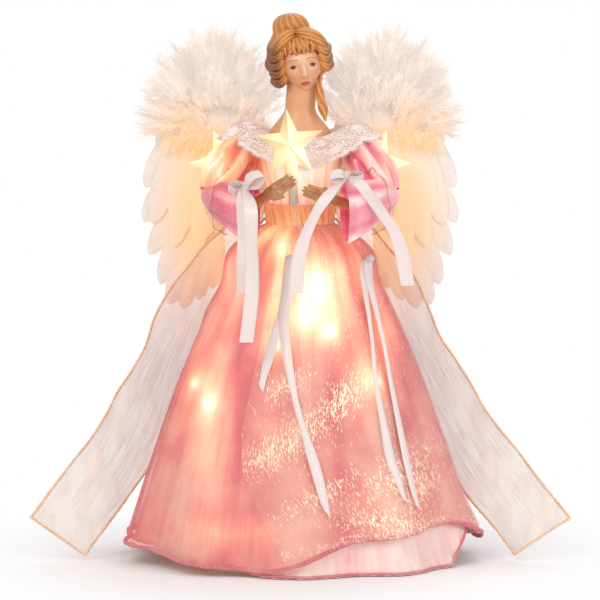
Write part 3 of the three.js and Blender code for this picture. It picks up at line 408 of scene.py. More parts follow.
# %% Repeat function
def repeat(name, shape, places, frames, sizes, material, spread=0.0, seed=1, tone=None):
    """Copies of a shape at places (mm), which then goes. frames are 3x3 matrices with its axes as columns."""
    mesh = bpy.data.meshes.new(name + "_points")
    mesh.from_pydata((np.asarray(places, float) * MM).tolist(), [], [])
    turns = [Matrix(f.tolist()).to_euler() for f in np.asarray(frames, float)]
    mesh.attributes.new("turn", "FLOAT_VECTOR", "POINT").data.foreach_set("vector", np.array(turns).ravel())
    sizes = np.broadcast_to(np.asarray(sizes, float), (len(places), 3))
    mesh.attributes.new("size", "FLOAT_VECTOR", "POINT").data.foreach_set("vector", sizes.ravel())
    if tone is not None:
        mark(mesh, "tone", tone)
    carrier = bpy.data.objects.new(name + "_carrier", mesh)
    bpy.context.collection.objects.link(carrier)
    modifier = carrier.modifiers.new("repeat", "NODES")
    modifier.node_group = repeat_tree
    values = {"Shape": shape, "Finish": material, "Size spread": spread, "Seed": seed}
    for item in repeat_tree.interface.items_tree:
        if item.in_out == "INPUT" and item.name in values:
            modifier[item.identifier] = values[item.name]
    evaluated = carrier.evaluated_get(bpy.context.evaluated_depsgraph_get())
    result = bpy.data.meshes.new_from_object(evaluated)
    result.name = name
    result.polygons.foreach_set("use_smooth", [True] * len(result.polygons))
    obj = bpy.data.objects.new(name, result)
    bpy.context.collection.objects.link(obj)
    bpy.data.objects.remove(carrier)
    bpy.data.objects.remove(shape)
    return obj


def frames_along(ahead, up):
    """3x3 matrices whose X is ahead and whose Z is as near up as can be."""
    x = units(ahead)
    y = units(np.cross(np.broadcast_to(up, x.shape), x))
    return np.stack([x, y, np.cross(x, y)], -1)


print("repeat function ready")


# %% [markdown]
# ## The skirts
# The real skirt is three layers of cloth gathered on one waist: a satin underskirt, a sheer rose overskirt,
# and a glitter overlay on the front and right. A cloth simulation could hang them, but the layers must stay
# nested over the same cone, so one bell formula places all three. Soft gathers are added as a few waves
# round the waist, the same for every layer, so no layer cuts through the next.

# %% Bell of the skirts
WAIST = (22, 19)
HEM = (132, 106)
NECK_Z = 244.0
TOP_Z = 249.0
FULL = 9.0  # swell below the waist
BELL = 0.66  # power of the flare
SCALLOPS, SCALLOP = 10, 4.5  # round folds at the hem, and their depth


def flare(z):
    return np.clip((NECK_Z - z) / NECK_Z, 0, 1)


def degrees_of(angle):
    """Angle from the front in degrees, from -180 to 180."""
    return np.degrees(np.arctan2(np.sin(angle), np.cos(angle)))


def gathers(angle, z):
    """Small folds that the cloth shares: fine at the waist, wider and softer below."""
    t = flare(z)
    waves = ((17, 0.8, 0.9, 2.0), (26, 0.6, 2.1, -3.0), (33, 0.5, 4.0, 1.5), (44, 0.35, 0.3, -2.0))
    total = sum(a * np.cos(n * angle + p + d * t) for n, a, p, d in waves)
    fine = 0.35 * np.cos(70 * angle + 3 * np.cos(5 * angle))
    return total * ease(t / 0.12) * (1 - 0.45 * t) + fine * ease(t / 0.03) * (1 - ease(t / 0.35))


def bell_point(angle, z, fold):
    """Point on the bell, moved out by a fold and by the swell below the waist."""
    bell = flare(z) ** BELL
    fold = fold + FULL * peak(z - 226, 16) * (0.5 + 0.5 * np.sin(angle) ** 2)
    return around(angle, mix(WAIST[0], HEM[0], bell) + fold, mix(WAIST[1], HEM[1], bell) + fold, z)


def skirt_at(angle, z, out):
    """Point on a layer of the skirt. A hem fold stands out at the right."""
    fold = SCALLOP * flare(z) * np.cos(SCALLOPS * angle) + gathers(angle, z) + out
    return bell_point(angle, z, fold + 9 * peak(degrees_of(angle) - 80, 13) * ease(1 - z / 70))


def front_lift(angle):
    degrees = degrees_of(angle)
    return ease((degrees + 14) / 36) * ease((88 - degrees) / 30)


def over_hem(angle):
    return 4 + 12 * np.sin(angle) ** 2 + 20 * front_lift(angle)


def under_hem(angle):
    """The underskirt shows below the overskirt at the front right, and is tucked up behind it elsewhere."""
    degrees = degrees_of(angle)
    shown = ease((degrees + 32) / 22) * ease((75 - degrees) / 16)
    return mix(over_hem(angle) + 2, 0.6, shown)


def overlay_hem(angle):
    return over_hem(angle) + 9 * (1 - front_lift(angle))


def skirt_grid(from_angle, to_angle, columns, rows, hem, out, closed):
    """Angles, heights and points of one layer. out may depend on the height."""
    angle = np.linspace(from_angle, to_angle, columns, endpoint=not closed)
    v = np.linspace(0, 1, rows)[:, None] ** 1.2
    z = mix(TOP_Z, hem(angle)[None, :], v)
    a = np.broadcast_to(angle, z.shape)
    return a, z, skirt_at(a, z, out(z) if callable(out) else out)


print("waist", WAIST, "hem", HEM)

# %% [markdown]
# Seven lamps stand in the cone and shine through the cloth. The light that the cloth lets through is
# painted as glow: a number at each point, high where the cloth passes in front of a lamp, with a wide warm
# part over the lit front. The spots come from the lamps' places on the cone, so they hold from every side.

# %% Glow of the skirt lamps
LAMPS = [(14, 202), (3, 180), (18, 168), (-14, 159), (40, 133), (-46, 117), (-62, 129)]
spots = np.array([skirt_at(np.radians(a), np.float64(z + 3), 0.0) for a, z in LAMPS])


def skirt_glow(points, core):
    """Light through the cloth: lamp spots, their halos, and a broad warm light behind the front."""
    p = points.reshape(-1, 3)
    glow = np.zeros(len(p))
    for spot in spots:
        d = np.linalg.norm(p - spot, axis=1)
        glow += core * peak(d, 3.6) + 0.5 * peak(d, 10) + 0.14 * peak(d, 27)
    front = ease((5 - p[:, 1]) / 25)
    broad = ((-6, 205, 30, 34, 0.8), (-20, 235, 14, 14, 0.75), (28, 196, 16, 28, 0.42),
             (44, 200, 13, 18, 0.3), (34, 217, 12, 16, 0.45), (59, 166, 12, 24, 0.5),
             (-50, 208, 13, 30, 0.34), (-62, 150, 14, 30, 0.2), (-65, 88, 15, 42, 0.36),
             (-22, 103, 14, 14, 0.15), (-48, 31, 32, 9, 0.42), (42, 138, 13, 18, 0.46),
             (60, 52, 22, 16, 0.14), (5, 80, 60, 50, 0.08))
    for x, z, sx, sz, strength in broad:
        glow += front * strength * hill(p[:, 0], p[:, 2], x, z, sx, sz)
    return glow


print("lamp spots at", spots.round().astype(int).tolist())


# %% Folds of the skirts
def stripes(angle, z):
    """Darker bands down from the waist, from 0 to 1: cloth lying double in the gathers, and painted fold
    shade.
    """
    t = flare(z)
    bands = sum(a * np.cos(n * angle + p + d * t) for n, a, p, d in
                ((13, 0.9, 0.5, 1.5), (21, 0.8, 2.7, -2.2), (34, 0.6, 1.1, 2.6), (55, 0.35, 0.2, -3.0)))
    return 1 / (1 + np.exp(-2.2 * bands))


# Broad folds as angle in degrees, depth of the rose there as painted fold shade, and share of the lamp
# light that comes through
FOLDS = np.array([(-180, 0.55, 0.3), (-110, 0.8, 0.3), (-90, 0.95, 0.3), (-68, 0.62, 0.6), (-54, 0.2, 1.0),
                  (-40, 0.18, 1.0), (-31, 0.35, 0.8), (-25, 0.75, 0.2), (-19, 0.42, 0.55), (-5, 0.3, 0.75),
                  (10, 0.3, 0.75), (16, 0.6, 0.35), (24, 0.34, 0.75), (35, 0.18, 0.95), (46, 0.3, 0.6),
                  (58, 0.42, 0.45), (70, 0.34, 0.4), (82, 0.5, 0.3), (95, 0.72, 0.3), (120, 0.6, 0.3),
                  (180, 0.5, 0.3)])
# Long double folds on the front: points (x, z) up each fold, half width, and extra depth of the rose,
# partly the colour of cloth lying double and partly painted shade
DRAPES = ((((-44, 100), (-42, 151), (-34, 187), (-19, 222)), 5.5, 0.55),
          (((84, 100), (76, 158), (64, 200), (46, 230)), 7.0, 0.45),
          (((6, 84), (25, 123), (40, 165)), 7.5, 0.35))


def drapes(angle, z):
    """Extra depth of the rose in long slanting folds: sheer cloth hanging double, and painted fold shade."""
    x, deep = skirt_at(angle, z, 0.0)[..., 0], 0.0
    for route, wide, depth in DRAPES:
        at, heights = zip(*route)
        ends = ease((z - heights[0] + 20) / 40) * ease((heights[-1] + 10 - z) / 20)
        deep = deep + depth * peak(x - np.interp(z, heights, at), wide) * ends
    return deep * ease(2 * np.cos(angle))


def broad_folds(angle, z):
    """Painted fold shade as depth of the rose, and share of the light: broad folds below, two double pleats
    at the waist.
    """
    degrees, t = degrees_of(angle), flare(z)
    low = ease((t - 0.28) / 0.2)
    rose = mix(0.25, np.interp(degrees, FOLDS[:, 0], FOLDS[:, 1]), low)
    light = mix(1.0, np.interp(degrees, FOLDS[:, 0], FOLDS[:, 2]), low * (1 - 0.75 * ease((46 - z) / 26)))
    pleat = peak(degrees + 34, 7) + peak(degrees - 42, 9)
    pleat = pleat * (1 - low) * ease(t / 0.06)
    # Painted shade deepens the rose at the sides near the waist.
    side = np.abs(np.sin(angle)) ** 6 * (1 - low)
    rose = rose + 0.55 * pleat + 0.4 * side + 0.3 * (stripes(angle, z) - 0.4) * (1 - 0.5 * t)
    deep = drapes(angle, z)
    # The rose is painted lighter on the crests of the hem scallops and deeper in their hollows.
    rose = rose - 0.14 * t * np.cos(SCALLOPS * angle) + deep
    light = light * (1 - 0.8 * np.minimum(pleat, 1)) * (1 - 0.6 * np.minimum(deep, 1))
    return rose, light * (1 - 0.35 * stripes(angle, z) * (1 - 0.6 * t))


print("broad folds:", len(FOLDS), "long folds:", len(DRAPES))

# %% [markdown]
# Organza is a stiff sheer plain weave. Its threads are about 0.15 mm apart, far too fine to show here, so
# the weave is drawn as faint streaks along the drop, 1 to 3 mm wide. It is see-through, so the layers tint
# each other. Satin is opaque with a soft gloss. Both carry the glow as their own light.

# %% Cloth finish
GLOW_STEPS = ((0.0, "#ff7c48"), (0.22, "#ffa660"), (0.5, "#ffdc92"), (0.8, "#fff2b4"), (1.0, "#fffbe0"))


def add_glow(tree, shader, strength):
    """Own light of a lit cloth, from its glow attribute."""
    glow = node(tree, "Attribute", attribute_name="glow")
    tone = node(tree, "ValToRGB", {"Fac": glow.outputs["Fac"]}, GLOW_STEPS)
    level = node(tree, "Math", {0: glow.outputs["Fac"], 1: strength}, operation="MULTIPLY")
    feed(shader, {"Emission Color": tone, "Emission Strength": level})


def cloth_finish(name, colours, values, alpha=None, glow=0.0, streak=(420.0, 26.0), bump=0.25, tint=True):
    """Woven cloth. Its colours follow streaks along the drop and the tint attribute, which carries painted
    shade and highlight. alpha makes it sheer.
    """
    material, tree, shader = start_material(name, values)
    coord = node(tree, "TexCoord")
    stretch = node(tree, "Mapping", {"Scale": (streak[0], streak[1], 1.0), "Vector": coord.outputs["UV"]})
    fibres = node(tree, "TexNoise", {"Scale": 1.0, "Detail": 3.0, "Vector": stretch})
    soft_noise = node(tree, "TexNoise", {"Scale": 55.0, "Detail": 2.0, "Vector": coord.outputs["Object"]})
    share = node(tree, "MapRange", {"From Min": 0.3, "From Max": 0.7, "To Min": -0.18, "To Max": 0.18,
                                    "Value": fibres})
    blotch = node(tree, "MapRange",
                  {"From Min": 0.35, "From Max": 0.65, "To Min": -0.15, "To Max": 0.15, "Value": soft_noise})
    total = node(tree, "Math", {0: share, 1: blotch}, operation="ADD")
    if tint:
        # The tint carries the painted light and shade of folds and creases, and on the skirts also the deeper
        # colour where cloth lies double.
        tint_and_shade = node(tree, "Attribute", attribute_name="tint")
        total = node(tree, "Math", {0: total, 1: tint_and_shade.outputs["Fac"]}, operation="ADD")
    else:
        total = node(tree, "Math", {0: total, 1: 0.5}, operation="ADD")
    tone = node(tree, "ValToRGB", {"Fac": total}, zip(np.linspace(0, 1, len(colours)), colours))
    feed(shader, {"Base Color": tone})
    relief = node(tree, "Bump", {"Strength": bump, "Distance": 0.0006, "Height": fibres})
    feed(shader, {"Normal": relief})
    if alpha is not None:
        cover = node(tree, "MapRange", {"From Min": 0.25, "From Max": 0.75, "To Min": alpha[0],
                                        "To Max": alpha[1], "Value": fibres})
        feed(shader, {"Alpha": cover})
    if glow:
        add_glow(tree, shader, glow)
    return material


print("cloth finish ready")

# %% Skirt finishes
THREAD = {"streak": (900.0, 900.0), "tint": False}
# Polyester satin, woven with long floats: smooth, pale, soft gloss across the folds.
under_satin = cloth_finish("underskirt_polyester_satin", ("#fbe4da", "#f7ccc2", "#eba4a2"),
                           {"Roughness": 0.42, "Specular IOR Level": 0.45, "Sheen Weight": 0.1}, glow=0.75)
# Nylon organza, a sheer plain weave of fine stiff yarn: crisp, lightly glossy, see-through.
over_organza = cloth_finish("overskirt_nylon_organza", ("#ffc2ae", "#f6968c", "#e46e76"),
                            {"Roughness": 0.5, "Specular IOR Level": 0.3, "Sheen Weight": 0.1},
                            alpha=(0.5, 0.74), glow=0.62)
# Rose rayon thread of the rolled hems: fine, matt, tightly overlocked.
hem_thread = cloth_finish("hem_rayon_thread", ("#f2b8b2", "#e0868c", "#c9646f"), {"Roughness": 0.6},
                          **THREAD)
print("organza, satin and hem thread")

# %% [markdown]
# The underskirt is the lowest satin layer. A rose cord is sewn on just above its hem, and below the cord
# the cloth stands out as a tiny ruffle. The overskirt is sheer and ends in a rolled hem, which a machine
# sews with close slanting stitches. The stitches repeat along the hem, so the repeat tree sets them there.

# %% Underskirt
def under_out(z):
    ruffle = 1 - ease((z - 0.6) / 7)
    return -1.4 - 5 * flare(z) + 2.2 * ruffle


a, z, points = skirt_grid(0, 2 * np.pi, 440, 110, under_hem, under_out, True)
wave = (1 - ease((z - under_hem(a)) / 6))[..., None]
outward = np.stack([np.sin(a), -np.cos(a), np.zeros_like(a)], -1)
points = points + outward * wave * 1.1 * np.cos(88 * a)[..., None]
rose, light = broad_folds(a, z)
tint = 0.1 + 0.5 * rose
underskirt = cloth("underskirt_cloth", points, True, True,
                   {"glow": skirt_glow(points, 0.9) * mix(1, light, 0.5).ravel(), "tint": tint})
dress(underskirt, under_satin, "figure", "satin_pale", "underskirt")
cord_angle = np.linspace(0, 2 * np.pi, 330, endpoint=False)
cord_z = under_hem(cord_angle) + 1.6
cord_line = skirt_at(cord_angle, cord_z, under_out(cord_z) + 1.3)
under_cord = tube("underskirt_hem_cord", cord_line, 0.9, 6, True)
dress(under_cord, hem_thread, "figure", "satin_pale")
print("underskirt area", round(area_of(underskirt), 4), "m2")

# %% Overskirt with its rolled hem
a, z, points = skirt_grid(0, 2 * np.pi, 440, 120, over_hem, 0.0, True)
tint, light = broad_folds(a, z)
overskirt = cloth("overskirt_cloth", points, True, True,
                  {"glow": skirt_glow(points, 1.0) * light.ravel(), "tint": tint})
dress(overskirt, over_organza, "figure", "organza_rose", "overskirt")


STITCH_FACES = 17  # faces of one stitch


def stitch_shape(name):
    """Short rounded stitch along X, one millimetre long before it is scaled."""
    line = np.array([[-0.5, 0, 0], [-0.3, 0, 0], [0.3, 0, 0], [0.5, 0, 0]])
    ring = tube_grid(line, [0.25, 0.5, 0.5, 0.25], 5)
    faces, _, _ = grid_faces(4, 5, True)
    return new_object(name, ring.reshape(-1, 3), faces.tolist() + [[4, 3, 2, 1, 0], [15, 16, 17, 18, 19]])


def stitched_edge(name, line, outward, length, thick, pitch, slant, material, closed=False):
    """Stitches laid across an edge at a pitch, each slanting along it."""
    line = np.asarray(line, float)
    if closed:
        line = np.concatenate([line, line[:1]])
        outward = np.concatenate([outward, outward[:1]])
    run = run_along(line)
    at = np.arange(0, run[-1], pitch)
    place, out = values_at(at, run, line), values_at(at, run, outward)
    ahead = units(np.gradient(place, axis=0))
    across = np.cross(out, ahead)
    frames = frames_along(across + slant * ahead, out)
    sizes = (length, thick, thick)
    return repeat(name, stitch_shape(name + "_shape"), place, frames, sizes, material, 0.12, 3)


over_edge = stitched_edge("overskirt_rolled_hem", points[-1] + np.array([0, 0, 0.6]), outward[-1], 3.4, 2.3,
                          2.0, 0.6, hem_thread, True)
dress(over_edge, hem_thread, "figure", "organza_rose")
stitches = len(over_edge.data.polygons) // STITCH_FACES
print("overskirt area", round(area_of(overskirt), 4), "m2, hem stitches:", stitches)

# %% [markdown]
# The glitter overlay is a third, very sheer layer that covers the front and the right, with a slanting left
# edge. Gold flecks are glued to it in slanting patches, like short hairs that point down, with a thin
# scatter between them. Each fleck is one thin diamond, set on the cloth by the repeat tree.

# %% Overlay finishes
# Pale rose nylon organza, almost clear.
glitter_organza = cloth_finish("overlay_nylon_organza", ("#ffdccc", "#fab8ac", "#ee9096"),
                               {"Roughness": 0.45, "Sheen Weight": 0.1}, alpha=(0.2, 0.42), glow=0.5)
# Gold polyester foil, cut into hair-thin flecks: bright, metallic, lit from behind; that light is painted
# as emission.
FOIL = {"Roughness": 0.3, "Metallic": 0.35, "Emission Color": srgb("#fff0cc"), "Emission Strength": 0.34}
glitter_foil, tree, shader = start_material("glitter_polyester_foil", FOIL)
coord = node(tree, "TexCoord")
speck = node(tree, "TexNoise", {"Scale": 900.0, "Vector": coord.outputs["Object"]})
tone = node(tree, "ValToRGB", {"Fac": speck}, ((0.0, "#f2d6a6"), (1.0, "#fff8e6")))
feed(shader, {"Base Color": tone})
print("overlay organza and foil")

# %% Overlay cloth
LEFT_EDGE = ((-4, 10), (-10.6, 35), (-23, 75), (-25, 105), (-18, 249))


def overlay_angle(u, z):
    degrees, heights = zip(*LEFT_EDGE)
    return np.radians(mix(np.interp(z, heights, degrees), 115.2, u))


def overlay_point(u, v, out):
    """Point on the overlay: u from its left edge to its right one, v from the waist to the hem."""
    run = v ** 1.2
    angle = overlay_angle(u, mix(TOP_Z, 14.0, run))
    z = mix(TOP_Z, overlay_hem(angle), run)
    return skirt_at(angle, z, out), angle, z


u, v = np.meshgrid(np.linspace(0, 1, 170), np.linspace(0, 1, 110))
points, a, z = overlay_point(u, v, 1.4)
tint, light = broad_folds(a + 0.04, z)
overlay = cloth("overlay_cloth", points, False, True,
                {"glow": skirt_glow(points, 1.0) * light.ravel(), "tint": tint})
dress(overlay, glitter_organza, "figure", "glitter_organza", "glitter_overlay")
print("overlay area", round(area_of(overlay), 4), "m2")

# %% Glitter flecks
# Patches of glitter: middle x and z, half length and half width, slope of the long side
PATCHES = ((-22, 88, 24, 8, 0.62), (10, 108, 30, 9, 0.78), (34, 128, 16, 7, 0.9), (70, 72, 26, 8, 0.55),
           (62, 38, 27, 8, -0.1), (16, 60, 22, 6, 0.5), (88, 60, 12, 9, 0.8), (-8, 136, 14, 5, 0.7))
TRIED, ON_HEM = 70000, 260  # flecks tried over the cloth, and flecks along the hem
FLECK_OUT = 1.75  # height of the flecks above the overskirt
chance = np.random.default_rng(7)
fu, fv = chance.random(TRIED), chance.random(TRIED) ** 0.75
spot, _, _ = overlay_point(fu, fv, FLECK_OUT)
density = np.full(len(fu), 0.012)
for x, z, long, wide, slope in PATCHES:
    dx, dz, size = spot[:, 0] - x, spot[:, 2] - z, math.hypot(1, slope)
    density += 0.7 * hill((dx + slope * dz) / size, (dz - slope * dx) / size, 0, 0, long, wide)
x, _, z = spot.T
clumps = 0.5 + 0.5 * np.sin(x * 0.9 + 2 * np.sin(z * 0.5)) * np.sin(z * 0.42 + np.sin(x * 0.6))
keep = (chance.random(len(fu)) < density * (0.35 + 0.9 * clumps)) & (spot[:, 1] < 20)
fu, fv = fu[keep], fv[keep]
hem_u, hem_v = chance.random(ON_HEM), 1 - 0.02 * chance.random(ON_HEM)
fu, fv = np.concatenate([fu, hem_u]), np.concatenate([fv, hem_v])
here, _, _ = overlay_point(fu, fv, FLECK_OUT)
below, _, _ = overlay_point(fu, np.minimum(fv + 0.01, 1.02), FLECK_OUT)
outer, _, _ = overlay_point(fu, fv, FLECK_OUT + 2)
down = units(below - here)
out = outer - here
sideways = np.cross(down, out / 2)
slope = chance.normal(0, 0.13, len(fu))
slope[-ON_HEM:] = chance.normal(0, 0.8, ON_HEM)
frames = frames_along(down + slope[:, None] * sideways, out)
diamond = [(-0.5, 0, 0), (0.1, -0.5, 0.02), (0.5, 0, 0), (0.1, 0.5, 0.02)]
fleck = new_object("fleck_shape", diamond, [(0, 1, 2, 3)])
length = chance.uniform(1.6, 3.8, len(fu))
sizes = np.stack([length, chance.uniform(0.2, 0.36, len(fu)), np.ones(len(fu))], 1)
flecks = repeat("overlay_glitter", fleck, here, frames, sizes, glitter_foil, 0.2, 11)
dress(flecks, glitter_foil, "figure", "glitter_organza")
print("flecks:", len(fu))

# %% [markdown]
# ## Satin ribbons
# Two pairs of narrow satin ribbon hang from the waist over the skirt. Each is a strip that follows the
# overlay's surface a little above it, with a slant cut at the end, and both of a pair hang from one small
# knot. A ribbon's face is plain satin with a fine selvedge line at each edge.

# %% Ribbon finish
# White polyester satin ribbon: bright, with a silky gloss and a woven selvedge. A faint warm emission on it
# is painted light.
RIBBON_SATIN_AND_GLOW = {"Roughness": 0.3, "Specular IOR Level": 0.5, "Sheen Weight": 0.2,
         "Emission Color": srgb("#ffe2d4"), "Emission Strength": 0.03}
ribbon_satin, tree, shader = start_material("ribbon_polyester_satin", RIBBON_SATIN_AND_GLOW)
coord = node(tree, "TexCoord")
parts = node(tree, "SeparateXYZ", {0: coord.outputs["UV"]})
thread = node(tree, "Mapping", {"Scale": (1600.0, 60.0, 1.0), "Vector": coord.outputs["UV"]})
rib = node(tree, "TexNoise", {"Scale": 1.0, "Detail": 2.0, "Vector": thread})
tone = node(tree, "ValToRGB", {"Fac": rib}, ((0.3, "#e5d4ce"), (0.65, "#ecddd7")))
edge_line = node(tree, "Math", {0: parts.outputs["X"], 1: 0.005}, operation="PINGPONG")
selvedge = node(tree, "MapRange",
                {"From Min": 0.0004, "From Max": 0.001, "To Min": 1.0, "To Max": 0.0, "Value": edge_line})
rimmed = node(tree, "Mix", {"B": srgb("#d8cac8"), 0: selvedge, "A": tone}, data_type="RGBA")
feed(shader, {"Base Color": rimmed.outputs["Result"]})
relief = node(tree, "Bump", {"Strength": 0.06, "Distance": 0.0003, "Height": rib})
feed(shader, {"Normal": relief})
print("ribbon satin")

# %% Ribbons on the skirt
RIBBON = 10.0


def skirt_ribbon(name, route, lift):
    """Strip along pairs of x and drop (part of the way from waist to floor), a little above the overlay."""
    line = smooth_line(route, 70)
    z = NECK_Z * (1 - line[:, 1])
    rx, ry = (mix(WAIST[k], HEM[k], flare(z) ** BELL) for k in (0, 1))
    middle = np.arcsin(np.clip(line[:, 0] / rx, -0.98, 0.98))
    radius = np.hypot(rx * np.cos(middle), ry * np.sin(middle))
    across = np.linspace(-0.5, 0.5, 9)
    run = np.linspace(0, 1, len(line))[:, None]
    turned = 0.42 + 0.34 * np.cos(4.5 * run + 2 * lift) ** 2
    angle = middle[:, None] + across[None, :] * turned * RIBBON / radius[:, None]
    float_off = 2.1 + lift + 1.2 * np.sin(9 * run + lift * 3) ** 2 * np.sin(np.pi * run) - 5 * across ** 2
    heights = z[:, None] - 6 * across * ease((run - 0.93) / 0.07)
    fold = SCALLOP * flare(heights) * np.cos(SCALLOPS * angle) + 0.3 * gathers(angle, heights)
    fold = fold + float_off + 1.0
    return cloth(name, bell_point(angle, heights, fold), False, True)


def knot(name, centre, size):
    """Pulled satin knot: a small ball with wrapped folds."""
    columns, rows = 28, 18
    u, v = ring_grid(columns, rows, np.pi - 0.04)
    v = v + 0.02
    r = 1 + 0.12 * np.cos(4 * u + 3 * np.cos(v)) + 0.05 * np.cos(11 * u)
    wide = r * np.sin(v)
    points = np.stack([wide * np.cos(u), wide * np.sin(u), np.cos(v)], -1) * np.array(size)
    faces, _, _ = grid_faces(rows, columns, True)
    caps = [list(range(columns)), list(range((rows - 1) * columns, rows * columns))[::-1]]
    return new_object(name, points.reshape(-1, 3) + np.asarray(centre, float),
                      [list(f[::-1]) for f in faces] + caps)


TAILS = {
    "centre_ribbon": ((-6, 0.09), [(-10, 0.168), (-15, 0.262), (-21, 0.352), (-28, 0.455)],
                      [(-8, 0.168), (-11, 0.283), (-3, 0.488), (10, 0.672), (19, 0.811)]),
    "side_ribbon": ((40, 0.098), [(46, 0.201), (50, 0.324), (52, 0.447), (60, 0.631), (72, 0.787)],
                    [(50, 0.201), (57, 0.324), (64, 0.459), (72, 0.652), (82, 0.811)]),
}
for name, (top, under, over) in TAILS.items():
    lower = skirt_ribbon(name + "_under_tail", [top] + under, 0.0)
    upper = skirt_ribbon(name + "_over_tail", [top] + over, 1.4)
    start = upper.data.vertices[4].co / MM
    tie = knot(name + "_knot", start + Vector((0, -1.0, 1)), (3.4, 2.6, 3.2))
    for piece in (lower, upper, tie):
        dress(piece, ribbon_satin, "figure", "satin_ribbon", name)
    print(name, "tails:", [round(area_of(p) / RIBBON / MM * 1000) for p in (lower, upper)], "mm")

# %% [markdown]
# ## Streamers
# A wide sheer streamer falls from each side of the waist to the floor. It is champagne organza with a wire
# in each edge, and the edge is bound with a twisted gold cord that looks like a row of small beads. The
# strip follows the solid's centre line and half widths, with soft waves across it.

# %% Streamers
# Champagne nylon organza ribbon: sheer, pale, a little pearly.
streamer_organza = cloth_finish("streamer_nylon_organza", ("#ebdacc", "#dcc5b5", "#f8d8be"),
                                {"Roughness": 0.45, "Sheen Weight": 0.2}, alpha=(0.42, 0.7),
                                streak=(700.0, 30.0), glow=0.6)
# Gold lurex cord: metallised yarn twisted round a core, warm and sparkling.
gold_cord = cloth_finish("edge_gold_lurex", ("#d8a67c", "#efc8a2", "#fbe6ce"),
                         {"Roughness": 0.35, "Metallic": 0.25}, **THREAD)

ROUTES = {
    1: [(46, 10, 0.033), (71, 14, 0.197), (94, 20, 0.402), (131, 17, 0.68), (175.5, -20, 0.926)],
    -1: [(46, 8, 0.033), (78, 11, 0.197), (101, 14, 0.402), (134, 6, 0.68), (175.5, -20, 0.926)],
}
HALVES = [(0, 0.5, 5), (3, -4, 9), (8, -12, 12), (12, -14, 8), (16, -8, 14), (19.5, 0, 14)]
BAND = (25.3, 22.3)  # half widths of the waistband
for side, label in SIDES:
    start = around(np.radians(96), BAND[0] + 1.1, BAND[1] + 1.1, 252.0)
    centres = np.array([start] + [(x, y, NECK_Z * (1 - drop)) for x, y, drop in ROUTES[side]])
    line = smooth_line(np.hstack([centres, np.array(HALVES)]), 130)
    run = np.linspace(0, 1, len(line))[:, None]
    across = np.linspace(-1, 1, 15)
    middle, half = line[:, :3], line[:, 3:]
    normal = units(np.cross(np.gradient(middle, axis=0), half))
    edge_wave = np.sin(26 * run + 2.2 * across + side)
    fine_wave = np.sin(47 * run + 5 * across) * np.sin(13 * run - 3 * across + side)
    wave = 1.7 * edge_wave * np.abs(across) ** 1.5 + 1.6 * np.sin(9 * run + 1.3 * across) + 0.55 * fine_wave
    wave = wave * ease(run / 0.12)
    wide = across * (1 + 0.6 * np.sin(np.pi * run) ** 2 * (across < 0))
    points = middle[:, None] + half[:, None] * wide[..., None] + normal[:, None] * wave[..., None]
    points[..., 2] = np.maximum(points[..., 2], 1.2)
    points = points * np.array([side, 1, 1])
    # The tint paints warm light on the upper part of each streamer, and light and shade along its crinkles.
    near = ease(1.15 - 1.7 * run) * (0.65 - 0.35 * across)
    tint = 0.28 + 0.7 * near + (0.5 * fine_wave + 0.26 * edge_wave) * (1 - 0.6 * near)
    glow = 0.6 * ease(1.1 - 2.2 * run) * np.ones_like(across)
    ribbon = cloth(label + "_streamer_cloth", points, False, side < 0, {"tint": tint, "glow": glow})
    dress(ribbon, streamer_organza, "figure", "organza_champagne", label + "_streamer")
    border = np.concatenate([points[:, 0], points[-1, 1:-1], points[::-1, -1]])
    end = np.repeat(normal[-1:], len(across) - 2, 0)
    faceout = np.concatenate([normal, end, normal[::-1]]) * np.array([side, 1, 1])
    cord = stitched_edge(label + "_streamer_gold_edge", border, faceout, 2.2, 1.9, 2.0, 1.1, gold_cord)
    dress(cord, gold_cord, "figure", "organza_champagne")

# %% [markdown]
# ## Bodice and waistband
# The bodice is pale pink satin pulled over the torso, so it shows a few upright strain folds. The waistband
# is a wider strip of peach satin, smooth above and gathered below, and it is lit from below by the skirt
# lamps.

# %% Bodice and waistband
# Pale polyester satin, stretched: smooth with a soft gloss.
bodice_satin = cloth_finish("bodice_polyester_satin", ("#fce2da", "#f6cbc2", "#e3a6a4"),
                            {"Roughness": 0.36, "Sheen Weight": 0.25}, glow=0.5)
# Peach polyester satin, gathered: soft gloss on each fold, warm where the lamps shine through.
band_satin = cloth_finish("waistband_polyester_satin", ("#f6b98c", "#eb9866", "#d4744a"),
                          {"Roughness": 0.36, "Sheen Weight": 0.25}, glow=0.6)


def torso_ring(angle, z, out):
    rise = np.clip((z - 250.3) / 50, 0, 1)
    return around(angle, mix(22.1, 31, rise) + out, mix(19.1, 18, rise) + out, z)


a, v = ring_grid(120, 30)
z = mix(250.6, 300.2, v)
pull = 0.35 * np.cos(23 * a + 4 * v) + 0.25 * np.cos(41 * a - 6 * v)
points = torso_ring(a, z, 0.95 + pull)
in_front = ease((5 - points[..., 1]) / 15)
near_star = hill(points[..., 0], z, -2, 290, 28, 26) * in_front
# The tint paints shade at the sides, and light and shade along the strain folds.
bodice = cloth("bodice_cloth", points, True, False,
               {"glow": 1.25 * near_star, "tint": 0.3 + 0.25 * np.abs(np.sin(a)) + pull})
dress(bodice, bodice_satin, "figure", "satin_pale", "bodice")

a, v = ring_grid(160, 40)
z = mix(244.4, 259.2, v)
folds = 0.5 + 0.5 * np.cos(30 * a + 2.5 * np.sin(5 * a) + 3 * v) * (1 - 0.7 * ease((v - 0.6) / 0.3))
points = torso_ring(a, np.maximum(z, 250.3), 1.7 + 1.9 * folds * np.sin(np.pi * v) ** 0.3)
points[..., 2] = z
in_front = ease((5 - points[..., 1]) / 15)
lit = (0.45 * peak(points[..., 0] + 4, 22) * in_front + 0.1) * (1.1 - 0.6 * v)
